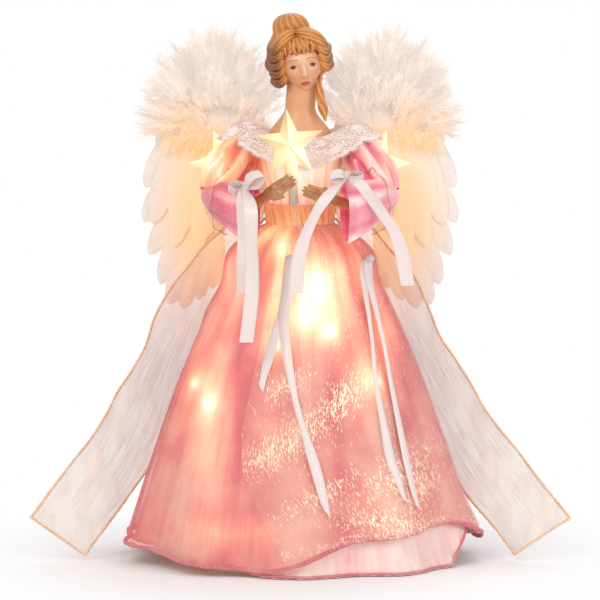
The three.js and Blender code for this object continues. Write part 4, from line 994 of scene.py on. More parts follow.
# The tint paints light on the crest of each gather and shade between them.
waistband = cloth("waistband_cloth", points, True, False, {"glow": lit, "tint": 0.75 - 0.6 * folds})
dress(waistband, band_satin, "figure", "satin_peach", "waistband")
print("bodice", round(area_of(bodice), 4), "waistband", round(area_of(waistband), 4), "m2")

# %% [markdown]
# ## Sleeves, cuffs and ruffles
# Each arm is a bent wire inside a puffed satin sleeve, a wide bell cuff of rose satin, and a sheer
# ruffle round the elbow with a fine wire in its edge. All are rings round the arm's line, so one function
# gives a point from the distance along the arm, a radius and an angle. The side stars light the sleeves
# from behind.

# %% Arm rings
SHOULDER_OUT = np.array([37, -2, 305.3])
ELBOW = np.array([62.0, -20, 266])
WRISTS = {1: np.array([27.0, -60, 266]), -1: np.array([29.0, -58, 266])}
FINGERTIPS = {1: np.array([1.5, -74, 276]), -1: np.array([3.5, -73, 284])}
SIDE_STAR = np.array([55.0, 19, 286])
FRONT_STAR = np.array([-7.7, -60, 306.7])


def unit(vector):
    return vector / np.linalg.norm(vector)


def arm_frame(axis):
    w = unit(axis)
    side = unit(np.cross(w, [0, 0, 1]))
    return w, side, np.cross(side, w)


def arm_ring(start, axis, along, radius, angle, droop=0.0):
    w, side, up = axis
    along, radius, angle, droop = np.broadcast_arrays(along, radius, angle, droop)
    point = start + along[..., None] * w + (radius * np.cos(angle))[..., None] * up
    point = point + (radius * np.sin(angle))[..., None] * side
    return point - droop[..., None] * np.array([0, 0, 1.0])


def star_glow(points, side):
    """Warm light of the side star behind the sleeve and of the front star."""
    p = points * np.array([side, 1, 1])
    back = hill(p[..., 0], p[..., 2], 62, 290, 14, 22)
    front = peak(np.linalg.norm(points - FRONT_STAR, axis=-1), 34)
    return (0.95 if side < 0 else 0.4) * back + 0.3 * front


ARM = arm_frame(ELBOW - SHOULDER_OUT)
ARM_LENGTH = np.linalg.norm(ELBOW - SHOULDER_OUT)
print("upper arm", round(ARM_LENGTH, 1), "mm")

# %% Finishes of sleeves, cuffs and ruffles
PUFF = (160.0, 40.0)  # streaks per metre across and along the puffs
# Polyester satin, gathered into puffs: strong soft highlights on every fold, partly painted through the tint.
# The left one is coral, the right one pink.
SATIN = {"Roughness": 0.24, "Specular IOR Level": 0.9, "Sheen Weight": 0.12}
# A faint pink emission on the cuffs is painted light that lifts their shade.
CUFF_SATIN_AND_GLOW = {**SATIN, "Emission Color": srgb("#ff7a88"), "Emission Strength": 0.13}
PINKS, CORALS = ("#fbcac2", "#f2969a", "#de5f7c"), ("#fcc296", "#f27e54", "#d64e3a")
sleeve_satin = {
    1: cloth_finish("sleeve_pink_polyester_satin", PINKS, SATIN, glow=0.55, streak=PUFF),
    -1: cloth_finish("sleeve_coral_polyester_satin", CORALS, SATIN, glow=0.62, streak=PUFF),
}
# Heavier rose polyester satin: mauve painted shade in the folds, and painted brighter where it turns to the
# light.
ROSES, RASPBERRIES = ("#ffe6de", "#ee939e", "#d95e7a"), ("#f7b6b0", "#e2627a", "#b04a64")
cuff_satin = {
    1: cloth_finish("cuff_rose_polyester_satin", ROSES, CUFF_SATIN_AND_GLOW, streak=PUFF),
    -1: cloth_finish("cuff_raspberry_polyester_satin", RASPBERRIES, CUFF_SATIN_AND_GLOW, streak=PUFF),
}
# Rose nylon organza of the elbow ruffle: very sheer.
ruffle_organza = cloth_finish("ruffle_nylon_organza", ("#f8d8d2", "#ecb6b2", "#d88f94"),
                              {"Roughness": 0.45, "Sheen Weight": 0.4}, alpha=(0.2, 0.42), tint=False)
# Bronze enamelled wire in the ruffle's edge.
edge_wire = cloth_finish("ruffle_bronze_wire", ("#7c5450", "#9a6a62", "#b4867a"),
                         {"Roughness": 0.35, "Metallic": 0.6}, **THREAD)
print("finishes of sleeves, cuffs and ruffles")

# %% Sleeves, cuffs and ruffles of both arms
SLEEVE = {1: 15.6, -1: 18.0}
CUFF_FRAMES = {}
for side, label in SIDES:
    flip = np.array([side, 1, 1])
    body = label + "_arm"
    a, v = ring_grid(120, 60)
    puff = np.sin(np.pi * (0.02 + 0.92 * v)) ** 0.5
    crease = 1.6 * np.cos(5 * a + 2.6 * v + side) + 1.0 * np.cos(8 * a - 4.5 * v + 2 * side)
    crease = crease + 0.45 * np.cos(15 * a + 5 * v)
    radius = mix(6.0, SLEEVE[side], puff) + crease * puff
    points = arm_ring(SHOULDER_OUT, ARM, mix(0.06, 1.0, v) * ARM_LENGTH, radius, a) * flip
    # The tint paints light on the crests of the creases, shade in them, and shade at the gathered ends.
    tint = 0.46 - 0.34 * crease * puff + 0.15 * (1 - puff)
    sleeve = cloth(label + "_sleeve_cloth", points, True, side < 0,
                   {"glow": star_glow(points, side), "tint": tint})
    dress(sleeve, sleeve_satin[side], body, "satin_coral", label + "_sleeve")

    wrist, tip = WRISTS[side], FINGERTIPS[side]
    reach = unit(tip - wrist)
    fore = arm_frame(wrist - 4 * reach - ELBOW)

    def cuff_point(v, angle, out):
        ripple = 1.5 * v * np.cos(5 * angle) + 1.0 * v * np.cos(8 * angle + 2) + 0.4 * v * np.cos(17 * angle)
        radius = 0.05 + 21.5 * v ** 0.4 + ripple + out
        along = mix(-10, 48, v) - 0.95 * radius * np.sin(angle) * ease(v)
        return arm_ring(ELBOW, fore, along, radius, angle, 7 * ease(v))

    CUFF_FRAMES[side] = fore, cuff_point
    a, v = ring_grid(120, 60, 1.12)
    turned_in = np.clip((v - 1) / 0.12, 0, 1)
    points = cuff_point(np.where(v > 1, 2 - v, v), a, -1.3 * turned_in ** 0.5) * flip
    # The tint paints shade in the creases, underneath and on the turned-in hem, and makes the left cuff
    # darker towards the elbow.
    crease = 0.8 * np.cos(5 * a) + 0.6 * np.cos(8 * a + 2)
    tint = 0.55 - 0.48 * crease * np.minimum(v, 1) - 0.2 * np.cos(a) + 0.2 * turned_in
    tint = tint + 0.45 * ease(1 - 1.8 * v) * (side < 0)
    cuff = cloth(label + "_cuff_cloth", points, True, side < 0, {"tint": tint})
    dress(cuff, cuff_satin[side], body, "satin_rose", label + "_cuff")

    a, v = np.meshgrid(np.linspace(np.radians(175), np.radians(385), 150), np.linspace(0, 1, 16))
    wave = v * 1.6 * (1 + np.cos(8 * a + 0.8 * np.sin(3 * a)))
    points = cuff_point(0.14 + 0.3 * v, a, 0.6 + wave + v * 5) * flip
    ruffle = cloth(label + "_ruffle_cloth", points, False, side < 0)
    dress(ruffle, ruffle_organza, body, "organza_rose", label + "_ruffle")
    wire = tube(label + "_ruffle_wire", points[-1], 0.2, 5)
    dress(wire, edge_wire, body, "organza_rose")
    print(label, "sleeve", round(area_of(sleeve), 4), "cuff", round(area_of(cuff), 4), "m2")

# %% [markdown]
# ## Bows
# A bow of white satin ribbon is tied on each forearm: a knot, two loops and two long tails. Loops and tails
# are bands along a smooth line, and each band's width is given as a direction, so that the ribbon can turn
# its face.

# %% Bows on the cuffs
def band(name, centres, halves, count, flip, sag=0.0):
    """Ribbon along points (mm), with its half width given as a vector at each point."""
    line = smooth_line(np.hstack([np.array(centres, float), np.array(halves, float)]), count)
    across = np.linspace(-1, 1, 7)
    middle, half = line[:, :3], line[:, 3:]
    normal = np.cross(np.gradient(middle, axis=0), half)
    normal /= np.linalg.norm(normal, axis=1)[:, None] + 1e-9
    run = np.linspace(0, 1, count)[:, None]
    cup = sag * (0.6 * across ** 2 + 0.7 * np.sin(7 * run + across))
    points = middle[:, None] + half[:, None] * across[None, :, None] + normal[:, None] * cup[..., None]
    return cloth(name, points * flip, False, flip[0] > 0)


BOWS = {
    1: (0.95, -12, [(-12, 1, 2.4), (11, 1, 2.4)],
        [[(20, -82, 272), (9, -87, 256), (0, -88, 232), (-3, -86, 203)],
         [(44, -74, 278), (58, -62, 258), (70, -56, 238), (77, -56, 205)]]),
    -1: (0.84, -34, [(-12, 11, 4.0), (11, 2, 3.4)],
         [[(40, -81, 268), (40, -81, 245), (40, -83, 222), (40, -81, 203)],
          [(35, -90, 264), (34, -92, 240), (34, -90, 205), (38, -88, 168)]]),
}
HALF = RIBBON / 2
for side, label in SIDES:
    flip = np.array([side, 1, 1])
    along, degrees, loops, tails = BOWS[side]
    fore, cuff_point = CUFF_FRAMES[side]
    angle = np.radians(degrees)
    centre = cuff_point(np.float64(along), angle, 4.2)
    tie = knot(label + "_bow_knot", centre * flip, (4.0, 3.6, 4.2))
    dress(tie, ribbon_satin, label + "_arm", "satin_ribbon", label + "_bow")
    for k, (dx, dz, opening) in enumerate(loops):
        far = np.array([dx, -8.0, dz])
        over = unit(np.array([-dz, 0, dx])) * opening
        tilt = unit(np.array([-dz, 0, dx])) * 0.55 * HALF + np.array([0, -0.83 * HALF, 0])
        route = [centre, centre + far / 2 + over, centre + 1.05 * far, centre + far / 2 - over, centre]
        widths = [0.45 * tilt, tilt, tilt, tilt, 0.45 * tilt]
        loop = band(f"{label}_bow_loop_{k + 1}", route, widths, 44, flip, 0.5)
        dress(loop, ribbon_satin, label + "_arm", "satin_ribbon", label + "_bow")
    for k, route in enumerate(tails):
        widths = [(0.6 * HALF, 0, 0.3 * HALF)] + [(HALF, 0.15 * HALF, 0)] * len(route)
        widths[2] = (0.9 * HALF, 0.35 * HALF, 0.1 * HALF)
        tail = band(f"{label}_bow_tail_{k + 1}", [centre] + route, widths, 70, flip, 0.9)
        dress(tail, ribbon_satin, label + "_arm", "satin_ribbon", label + "_bow")
    print(label, "bow: knot, 2 loops, 2 tails")

# %% [markdown]
# ## Wings
# A wing is a felt board on a bent wire, with three kinds of feather glued on: long round-tipped flight
# feathers, coverts over their roots, and loose marabou down on top. One feather blade is drawn once
# and repeated. Down is thousands of soft barbs, so one thin curved barb is repeated over the crest and over
# the upper wing. The lit stars behind the sleeves warm the feathers near the shoulders.

# %% Glow on the wings
def wing_glow(tree, shader, strength, base, reach, height, squeeze):
    """Painted warm light of the side stars on the inner wing, by the distance to them, and painted scattered
    light.
    """
    coord = node(tree, "TexCoord")
    sides = node(tree, "VectorMath", {0: coord.outputs["Object"]}, operation="ABSOLUTE")
    tall = node(tree, "VectorMath", {0: sides, 1: (1, 1, squeeze)}, operation="MULTIPLY")
    far = node(tree, "VectorMath", {0: tall, 1: (0.067, 0.03, height * squeeze)}, operation="DISTANCE")
    level = node(tree, "MapRange", {"From Min": 0.01, "From Max": reach, "To Min": 1.0, "To Max": 0.0,
                                    "Value": far.outputs["Value"]}, interpolation_type="SMOOTHSTEP")
    plain = shader.inputs["Base Color"].links[0].from_socket
    warmth = node(tree, "Math", {0: level, 1: 0.8}, operation="MULTIPLY")
    warm = node(tree, "Mix", {"B": srgb("#f8d6a4"), 0: warmth, "A": plain}, data_type="RGBA")
    feed(shader, {"Base Color": warm.outputs["Result"]})
    tint = node(tree, "Mix", {"A": srgb("#fff5f0"), "B": srgb("#ffc070"), 0: level}, data_type="RGBA")
    lit = node(tree, "MapRange", {"To Min": base, "To Max": strength, "Value": level})
    feed(shader, {"Emission Color": tint.outputs["Result"], "Emission Strength": lit})


print("wing glow ready")

# %% Goose feather
# White goose feather, bleached: matt, with fine slanting barbs on both sides of a pale shaft.
goose_feather, tree, shader = start_material("goose_feather", {"Roughness": 0.75, "Sheen Weight": 0.3})
coord = node(tree, "TexCoord")
parts = node(tree, "SeparateXYZ", {0: coord.outputs["UV"]})
off_middle = node(tree, "Math", {0: parts.outputs["X"], 1: 0.5}, operation="SUBTRACT")
off_shaft = node(tree, "Math", {0: off_middle}, operation="ABSOLUTE")
slope = node(tree, "Math", {0: off_shaft, 1: 190.0}, operation="MULTIPLY")
phase = node(tree, "Math", {0: parts.outputs["Y"], 1: -420.0, 2: slope}, operation="MULTIPLY_ADD")
barbs = node(tree, "Math", {0: phase}, operation="SINE")
frayed = node(tree, "TexNoise", {"Scale": 260.0, "Detail": 3.0, "Vector": coord.outputs["Object"]})
uneven = node(tree, "Math", {0: barbs, 1: 0.12, 2: frayed}, operation="MULTIPLY_ADD")
tone = node(tree, "ValToRGB", {"Fac": uneven}, ((0.2, "#ddd3cd"), (0.7, "#e9e2dd")))
shaft = node(tree, "MapRange", {"From Min": 0.012, "From Max": 0.03, "To Min": 1.0, "To Max": 0.0,
                                "Value": off_shaft})
with_shaft = node(tree, "Mix", {"B": srgb("#e4d9cf"), 0: shaft, "A": tone}, data_type="RGBA")
# Painted shade along the edge of each blade sets the feathers apart.
rim = node(tree, "MapRange", {"From Min": 0.42, "From Max": 0.5, "To Max": 0.5, "Value": off_shaft},
           interpolation_type="SMOOTHSTEP")
with_edge_shade = node(tree, "Mix", {"B": srgb("#d3c4bc"), 0: rim, "A": with_shaft.outputs["Result"]},
                data_type="RGBA")
feed(shader, {"Base Color": with_edge_shade.outputs["Result"]})
relief = node(tree, "Bump", {"Strength": 0.3, "Distance": 0.0004, "Height": uneven})
feed(shader, {"Normal": relief})
wing_glow(tree, shader, 0.2, 0.1, 0.058, 0.248, 0.62)
print("goose feather")

# %% Marabou down
# Marabou down: soft loose barbs, matt and bright.
marabou, tree, shader = start_material("marabou_down", {"Roughness": 0.9, "Sheen Weight": 0.4})
barb_tone = node(tree, "Attribute", attribute_name="tone")
tone = node(tree, "ValToRGB", {"Fac": barb_tone.outputs["Fac"]}, ((0.0, "#c8bdb1"), (1.0, "#ece5dd")))
feed(shader, {"Base Color": tone})
wing_glow(tree, shader, 0.25, 0.25, 0.078, 0.272, 1.0)
print("marabou")

# %% Wing plane, feather blade and barb
HINGE = (14.0, 27.986)
SWEEP = math.radians(8)


def wing_place(local, side):
    """World point from a point on the right wing's own plane: x from the hinge, y depth, z height."""
    local = np.asarray(local, float)
    x = HINGE[0] + local[..., 0] * math.cos(SWEEP) - local[..., 1] * math.sin(SWEEP)
    y = HINGE[1] + local[..., 0] * math.sin(SWEEP) + local[..., 1] * math.cos(SWEEP)
    return np.stack([side * x, y, local[..., 2]], -1)


def wing_turn(direction, side):
    return wing_place(direction, side) - wing_place(np.zeros(3), side)


s = np.linspace(0, 1, 24)
HALF_WIDTHS = ((0, 0.1), (0.05, 0.16), (0.2, 0.29), (0.45, 0.43), (0.65, 0.5), (0.8, 0.48), (0.9, 0.38),
               (0.96, 0.25), (1.0, 0.05))
profile = np.interp(s, *zip(*HALF_WIDTHS))
across = np.linspace(-1, 1, 11)
blade_points = np.stack(np.broadcast_arrays(s[:, None], profile[:, None] * across, 0 * s[:, None]), -1)
faces, j, i = grid_faces(len(s), len(across), False)
j, i = j.ravel(), i.ravel()
blade_u = np.stack([i, i + 1, i + 1, i], 1) / (len(across) - 1)
blade_v = np.stack([j, j, j + 1, j + 1], 1) / (len(s) - 1)
blade_uv = np.stack([blade_u, blade_v], -1)


def feather_shape(name, cup):
    """Blade one millimetre long and wide, cupped across and bowed along."""
    points = blade_points.copy()
    points[..., 2] = cup * (0.5 * (across ** 2)[None, :] + 0.8 * s[:, None] ** 2)
    return new_object(name, points.reshape(-1, 3), faces[:, ::-1], blade_uv[:, ::-1].reshape(-1, 2))


barb_s = np.linspace(0, 1, 5)
barb_width = np.array([1, 0.95, 0.75, 0.45, 0.06])[:, None] * np.array([-0.5, 0.5])
barb_points = np.stack(np.broadcast_arrays(barb_s[:, None], barb_width, 0.16 * barb_s[:, None] ** 2), -1)
barb_faces, _, _ = grid_faces(5, 2, False)
print("blade and barb shapes")

# %% Long feathers and coverts
# Tips of the long feathers (x and z) and their lean from the vertical in degrees, from the top down
FLIGHTS = np.array([(104, 296, 30), (112.5, 268, 27), (114.5, 241.5, 29), (110, 218, 27), (102.5, 196, 21),
                    (96, 181.5, 18), (86, 178, 13), (75, 184, 8), (64, 194, 4.0)])
CHANCE = {1: np.random.default_rng(21), -1: np.random.default_rng(22)}
for side, label in SIDES:
    chance = CHANCE[side]
    front = wing_turn([0, -1, 0], side)
    tip_x, tip_z, lean = FLIGHTS.T
    count = len(FLIGHTS)
    length = 80 + chance.normal(0, 1.5, count)
    turn = np.radians(lean + chance.normal(0, 1.0, count))
    tip = np.stack([tip_x - HINGE[0], np.full(count, -2.6) - 0.32 * np.arange(count)[::-1], tip_z], 1)
    span = np.stack([length * np.sin(turn), np.zeros(count), -length * np.cos(turn)], 1)
    root = tip - span
    sizes = np.stack([length, np.full(count, 16.0), np.ones(count)], 1)
    flights = repeat(label + "_flight_feathers", feather_shape("flight_shape", -0.9), wing_place(root, side),
                     frames_along(wing_turn(span, side), front), sizes, goose_feather, 0.02, 5)
    dress(flights, goose_feather, label + "_wing", "feather", label + "_wing_flight_feathers")

    count = 13
    k = np.arange(count)
    turn = np.radians(mix(1, 13, k / (count - 1)) + chance.normal(0, 1.5, count))
    high = 344 + 6 * np.sin(k * 0.5) - 0.9 * k
    root = np.stack([mix(31, 82, k / (count - 1)) - HINGE[0], -6.0 - 0.3 * (k % 4), high], 1)
    ahead = np.stack([np.sin(turn), np.zeros(count), -np.cos(turn)], 1)
    long = 96 + 12 * np.sin(k * 2.1) + np.interp(k, [0, 6, 12], [0, 14, -4])
    sizes = np.stack([long, np.full(count, 17.0), np.ones(count)], 1)
    coverts = repeat(label + "_covert_feathers", feather_shape("covert_shape", -0.8), wing_place(root, side),
                     frames_along(wing_turn(ahead, side), front), sizes, goose_feather, 0.03, 6)
    dress(coverts, goose_feather, label + "_wing", "feather", label + "_wing_covert_feathers")
    print(label, "wing:", len(FLIGHTS), "long feathers,", count, "coverts")

# %% Down
# Middle x and z of the crest's round tufts, and their radius
ARCH = np.array([(36, 343, 13), (47, 354, 14), (60, 360, 15), (72, 356, 15), (82, 345, 14), (89, 331, 13),
                 (92, 317, 12.0)])
# Plumes of down on the crest, over the field of the wing and along its lower fringe, and barbs on each
CREST, FIELD, FRINGE, BARBS = 170, 300, 80, 40
for side, label in SIDES:
    chance = CHANCE[side]
    front = wing_turn([0, -1, 0], side)
    # A plume is a short shaft with barbs that spread from it. Some stand on the crest, some lie over the
    # wing, and the last hang along its lower edge.
    crest = chance.integers(0, len(ARCH), CREST)
    ball = units(chance.normal(size=(CREST, 3)))
    x, z, r = ARCH[crest].T
    off = 0.55 * r
    seat = np.stack([x - HINGE[0] + off * ball[:, 0], -13 + 5 * ball[:, 1], z + off * ball[:, 2]], 1)
    away = np.stack([x - 56, np.full(CREST, -3.0), z - 305], 1)
    aim = units(away) + ball * np.array([0.6, 0.35, 0.6])
    ring, turn = chance.random(FIELD) ** 0.6, chance.uniform(0, 2 * np.pi, FIELD)
    x, z = 58 + 38 * ring * np.cos(turn), 331 + 32 * ring * np.sin(turn)
    away = np.stack([x - 54, -14 * chance.random(FIELD), z - 298], 1)
    away = units(away) + chance.normal(0, 0.3, (FIELD, 3)) * np.array([1, 0.4, 1])
    seat = np.concatenate([seat, np.stack([x - HINGE[0], -9 - 7 * (1 - ring), z], 1)])
    aim = np.concatenate([aim, away])
    x = chance.uniform(34, 96, FRINGE)
    z = 306 + 8 * chance.random(FRINGE) + 0.1 * (70 - x)
    seat = np.concatenate([seat, np.stack([x - HINGE[0], np.full(FRINGE, -9.0), z], 1)])
    away = np.stack([0.012 * (x - 50), -0.25 * chance.random(FRINGE), np.full(FRINGE, -0.9)], 1)
    aim = units(np.concatenate([aim, away + chance.normal(0, 0.22, (FRINGE, 3))]))
    count = len(seat)
    plume = np.repeat(np.arange(count), BARBS)
    along = chance.random(len(plume))
    long, short = chance.uniform(15, 25, count), chance.uniform(13, 20, count)
    reach = np.where(np.arange(count) < CREST, long, short)[plume]
    places = seat[plume] + aim[plume] * (0.65 * along * reach)[:, None]
    spread = chance.normal(size=(len(plume), 3)) * np.array([0.5, 0.3, 0.5])
    aheads = aim[plume] + (1 - 0.55 * along)[:, None] * spread
    lengths = reach * (0.6 - 0.2 * along) * chance.uniform(0.75, 1.2, len(plume))
    # Barbs are left out where the side star is pulled past them and where the sleeve swings back
    base = wing_place(places, 1)
    ends = base + wing_turn(aheads, 1) * (lengths / np.linalg.norm(aheads, axis=1))[:, None]
    clear = np.ones(len(places), bool)
    for point in (base, (base + ends) / 2, ends):
        clear &= (point[:, 1] > 11) | (point[:, 2] > 308)
        for pull in (0, 4, 8, 12, 16):
            off = point - SIDE_STAR - pull * np.array([0.309, 0, 0.951])
            far = np.hypot(off[:, 0], off[:, 2])
            clear &= np.abs(off[:, 1]) > np.interp(far, [0, 9, 25.5, 26.5], [9, 6, 2.6, -1])
    places, aheads, lengths, plume, along = (part[clear] for part in (places, aheads, lengths, plume, along))
    facing = front + chance.normal(0, 0.5, (len(places), 3))
    tone = np.clip(0.7 * chance.random(count)[plume] + 0.2 * along + 0.15 * chance.random(len(plume)), 0, 1)
    shape = new_object("barb_shape", barb_points.reshape(-1, 3), barb_faces[:, ::-1])
    sizes = np.stack([lengths, chance.uniform(0.24, 0.5, len(places)), lengths], 1)
    frames = frames_along(wing_turn(aheads, side), facing)
    down = repeat(label + "_down", shape, wing_place(places, side), frames, sizes, marabou, 0.15, 9, tone)
    dress(down, marabou, label + "_wing", "down", label + "_wing_down")
    print(label, "wing:", len(places), "barbs of down")

# %% [markdown]
# ## Stars, lamps and the hidden frame
# Stars are clear moulded acrylic on warm lamps. Their light is painted as emission, strongest at the
# middle, and each facet is painted lighter or darker by how it faces one fixed direction. The other solids
# are kept as they are and only get their finish: moulded plastic, foam, felt and wire.

# %% Star and lamp finishes
# Clear moulded acrylic lit from inside: glossy, warm white. The light from inside is painted as emission,
# brighter at the middle.
ACRYLIC = {"Roughness": 0.12, "Coat Weight": 0.4, "IOR": 1.49, "Base Color": srgb("#cdbd92")}
star_acrylic, tree, shader = start_material("star_clear_acrylic", ACRYLIC)
coord = node(tree, "TexCoord")
near = None
for centre in (FRONT_STAR - np.array([-1.5, 0, 8]), SIDE_STAR, SIDE_STAR * np.array([-1, 1, 1])):
    far = node(tree, "VectorMath", {0: coord.outputs["Object"], 1: tuple(centre * MM)}, operation="DISTANCE")
    if near is None:
        near = far.outputs["Value"]
        continue
    closer = node(tree, "Math", {0: far.outputs["Value"], 1: 0.3}, operation="MULTIPLY")
    near = node(tree, "Math", {0: near, 1: closer}, operation="MINIMUM")
# Painted shading of the facets: each is lighter or darker by how it faces one fixed direction.
geometry = node(tree, "NewGeometry")
facet = node(tree, "VectorMath", {0: geometry.outputs["True Normal"], 1: (0.75, -0.25, 0.6)},
             operation="DOT_PRODUCT")
place = node(tree, "MapRange", {"From Min": 0.0, "From Max": 0.026, "Value": near})
warm = node(tree, "Math", {0: facet.outputs["Value"], 1: -0.55, 2: place}, operation="MULTIPLY_ADD")
STAR_STEPS = ((0.0, "#fff8d2"), (0.35, "#ffefb8"), (0.7, "#f6d890"), (1.0, "#cfa96c"))
tone = node(tree, "ValToRGB", {"Fac": warm}, STAR_STEPS)
level = node(tree, "MapRange", {"From Min": -0.45, "From Max": 1.1, "To Min": 0.86, "To Max": 0.2,
                                "Value": warm})
feed(shader, {"Emission Color": tone, "Emission Strength": level})

# Clear glass lamp with a warm filament.
GLASS = {"Roughness": 0.08, "Base Color": srgb("#fff2d0"), "Emission Strength": 2.2}
lamp_glass, tree, shader = start_material("lamp_clear_glass", GLASS)
coord = node(tree, "TexCoord")
flicker = node(tree, "TexNoise", {"Scale": 300.0, "Vector": coord.outputs["Object"]})
tone = node(tree, "ValToRGB", {"Fac": flicker}, ((0.0, "#ffdf9e"), (1.0, "#fff6dc")))
feed(shader, {"Emission Color": tone})
print("star acrylic and lamp glass")


# %% Moulded finishes
def moulded(name, dark, light, scale, values, bump=0.15, lit=None):
    """Plain solid finish: two close tones in a grain of a given scale (per metre), with a slight relief.
    Near a point lit by a lamp it glows with painted warm light."""
    material, tree, shader = start_material(name, values)
    coord = node(tree, "TexCoord")
    grain = node(tree, "TexNoise", {"Scale": scale, "Detail": 3.0, "Vector": coord.outputs["Object"]})
    tone = node(tree, "ValToRGB", {"Fac": grain}, ((0.35, dark), (0.65, light)))
    feed(shader, {"Base Color": tone})
    relief = node(tree, "Bump", {"Strength": bump, "Distance": 0.0004, "Height": grain})
    feed(shader, {"Normal": relief})
    if lit is not None:
        far = node(tree, "VectorMath", {0: coord.outputs["Object"], 1: tuple(lit * MM)}, operation="DISTANCE")
        level = node(tree, "MapRange", {"From Min": 0.018, "From Max": 0.044, "To Min": 0.75, "To Max": 0.0,
                                        "Value": far.outputs["Value"]})
        feed(shader, {"Emission Strength": level, "Emission Color": srgb("#ffd08c")})
    return material


FINISHES = {
    # Injection-moulded polystyrene: white, satin smooth.
    "cone_plastic": moulded("cone_white_polystyrene", "#e9e8e3", "#f1f0ec", 300, {"Roughness": 0.45}),
    # Moulded ABS of the star holders: mid grey, fine texture, with painted warm light near the front star.
    "grey_plastic": moulded("holder_grey_abs", "#a8a59e", "#bebbb4", 900, {"Roughness": 0.5}, lit=FRONT_STAR),
    # Moulded polypropylene lamp holders and wire of the light string.
    "string_plastic": moulded("string_white_polypropylene", "#e4e4de", "#f0f0ea", 600, {"Roughness": 0.5}),
    # Soft PVC lead: pale, waxy.
    "lead": moulded("lead_clear_pvc", "#dcbd98", "#ecd3b2", 700, {"Roughness": 0.35}),
    # Expanded polystyrene foam: white beads about 3 mm across.
    "foam": moulded("torso_expanded_polystyrene", "#e6e6e2", "#f6f6f2", 350, {"Roughness": 0.9}, 0.6),
    # Needled polyester felt: matt, fibrous.
    "wing_felt": moulded("wing_polyester_felt", "#efebe6", "#f8f5f1", 800, {"Roughness": 0.95}, 0.5),
    # Galvanised steel wire: grey, half bright.
    "wire": moulded("galvanised_steel_wire", "#9c9c98", "#c2c2bd", 500, {"Roughness": 0.4, "Metallic": 0.9}),
    "star_clear": star_acrylic,
    "lamp_glass": lamp_glass,
}
print("finishes:", len(FINISHES))

# %% Solids that stay
KEPT = {
    "support_cone": "cone_plastic", "lead_grommet": "grey_plastic", "light_string": "string_plastic",
    "torso_block": "foam", "wing_bracket": "cone_plastic",
}
for k in range(1, 8):
    KEPT[f"skirt_lamp_{k}"] = "lamp_glass"
for label in ("front", "right", "left"):
    KEPT.update({f"{label}_star": "star_clear", f"{label}_star_lamp": "lamp_glass",
                 f"{label}_star_holder": "grey_plastic", f"{label}_star_lead": "lead"})
for label in ("right", "left"):
    KEPT.update({f"{label}_arm_wire": "wire", f"{label}_wing_wire": "wire",
                 f"{label}_wing_board": "wing_felt"})
for name, finish in KEPT.items():
    place_on(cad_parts[name], FINISHES[finish])
print("solids kept:", len(KEPT))

# %% [markdown]
# ## Head and bust
# The head, neck and bare shoulders are one hollow resin casting, painted by hand. The face is a smooth
# ellipsoid with soft hills and dents for nose, eyes, lips and cheeks, and its paint is a colour on each
# point, with painted shade and highlights among it. The pinned-up hair is a ridged cone with rolls, fringe
# curls and one ringlet laid on it as grooved locks, with painted shade in the grooves and painted highlights
# on the ridges.

# %% Face
HEAD = np.array([0.8, -2.0, 359.9])
ROLL = math.radians(-9)
YAW = math.radians(5)
roll_matrix = np.array(Matrix.Rotation(ROLL, 3, "Y") @ Matrix.Rotation(YAW, 3, "Z"))


def on_head(local):
    """World point from a point on the upright head, which leans a little to one side."""
    return np.asarray(local, float) @ roll_matrix.T + HEAD


turn = np.linspace(-np.pi, np.pi, 250, endpoint=False)
a, b = np.meshgrid(turn - 0.55 * np.sin(turn), np.linspace(-0.498 * np.pi, 0.498 * np.pi, 210))
jaw = 1 - 0.34 * ease(-1.15 * np.sin(b))
x, y, z = 13.9 * jaw * np.cos(b) * np.sin(a), -16 * np.cos(b) * np.cos(a), 17.8 * np.sin(b)
w = np.abs(x)
# Hills and dents: height, distance from the middle line (x, or w for both sides), middle and half widths
HILLS = ((2.6, x, 0, -2.5, 1.7, 4.2), (1.5, x, 0, -5.6, 2.2, 1.7), (0.5, w, 1.9, -6.0, 0.9, 0.9),
         (-1.2, w, 6.3, 1.2, 3.4, 2.4), (0.9, w, 6.4, 0.9, 2.3, 1.3), (0.4, w, 6.2, 5.2, 4.2, 1.5),
         (0.7, w, 7.5, -5, 3.6, 3.6), (0.7, x, 0, -10.1, 2.9, 0.8), (0.85, x, 0, -11.8, 2.4, 0.9),
         (-0.45, x, 0, -11.0, 3.1, 0.3), (1.1, x, 0, -15.6, 3.4, 1.9))
relief = sum(high * hill(off, z, *spot) for high, off, *spot in HILLS)
front = ease(np.cos(a) * 1.6)
points = np.stack([x, y - relief * front, z], -1)
print("face grid", points.shape[:2])


# %% Paint of the face
def plain_paint(colour, shape):
    return np.broadcast_to(np.array(srgb(colour)[:3]), (*shape, 3))


def colour_mix(base, colour, share):
    return base + (np.array(srgb(colour)[:3]) - base) * np.clip(share, 0, 1)[..., None]


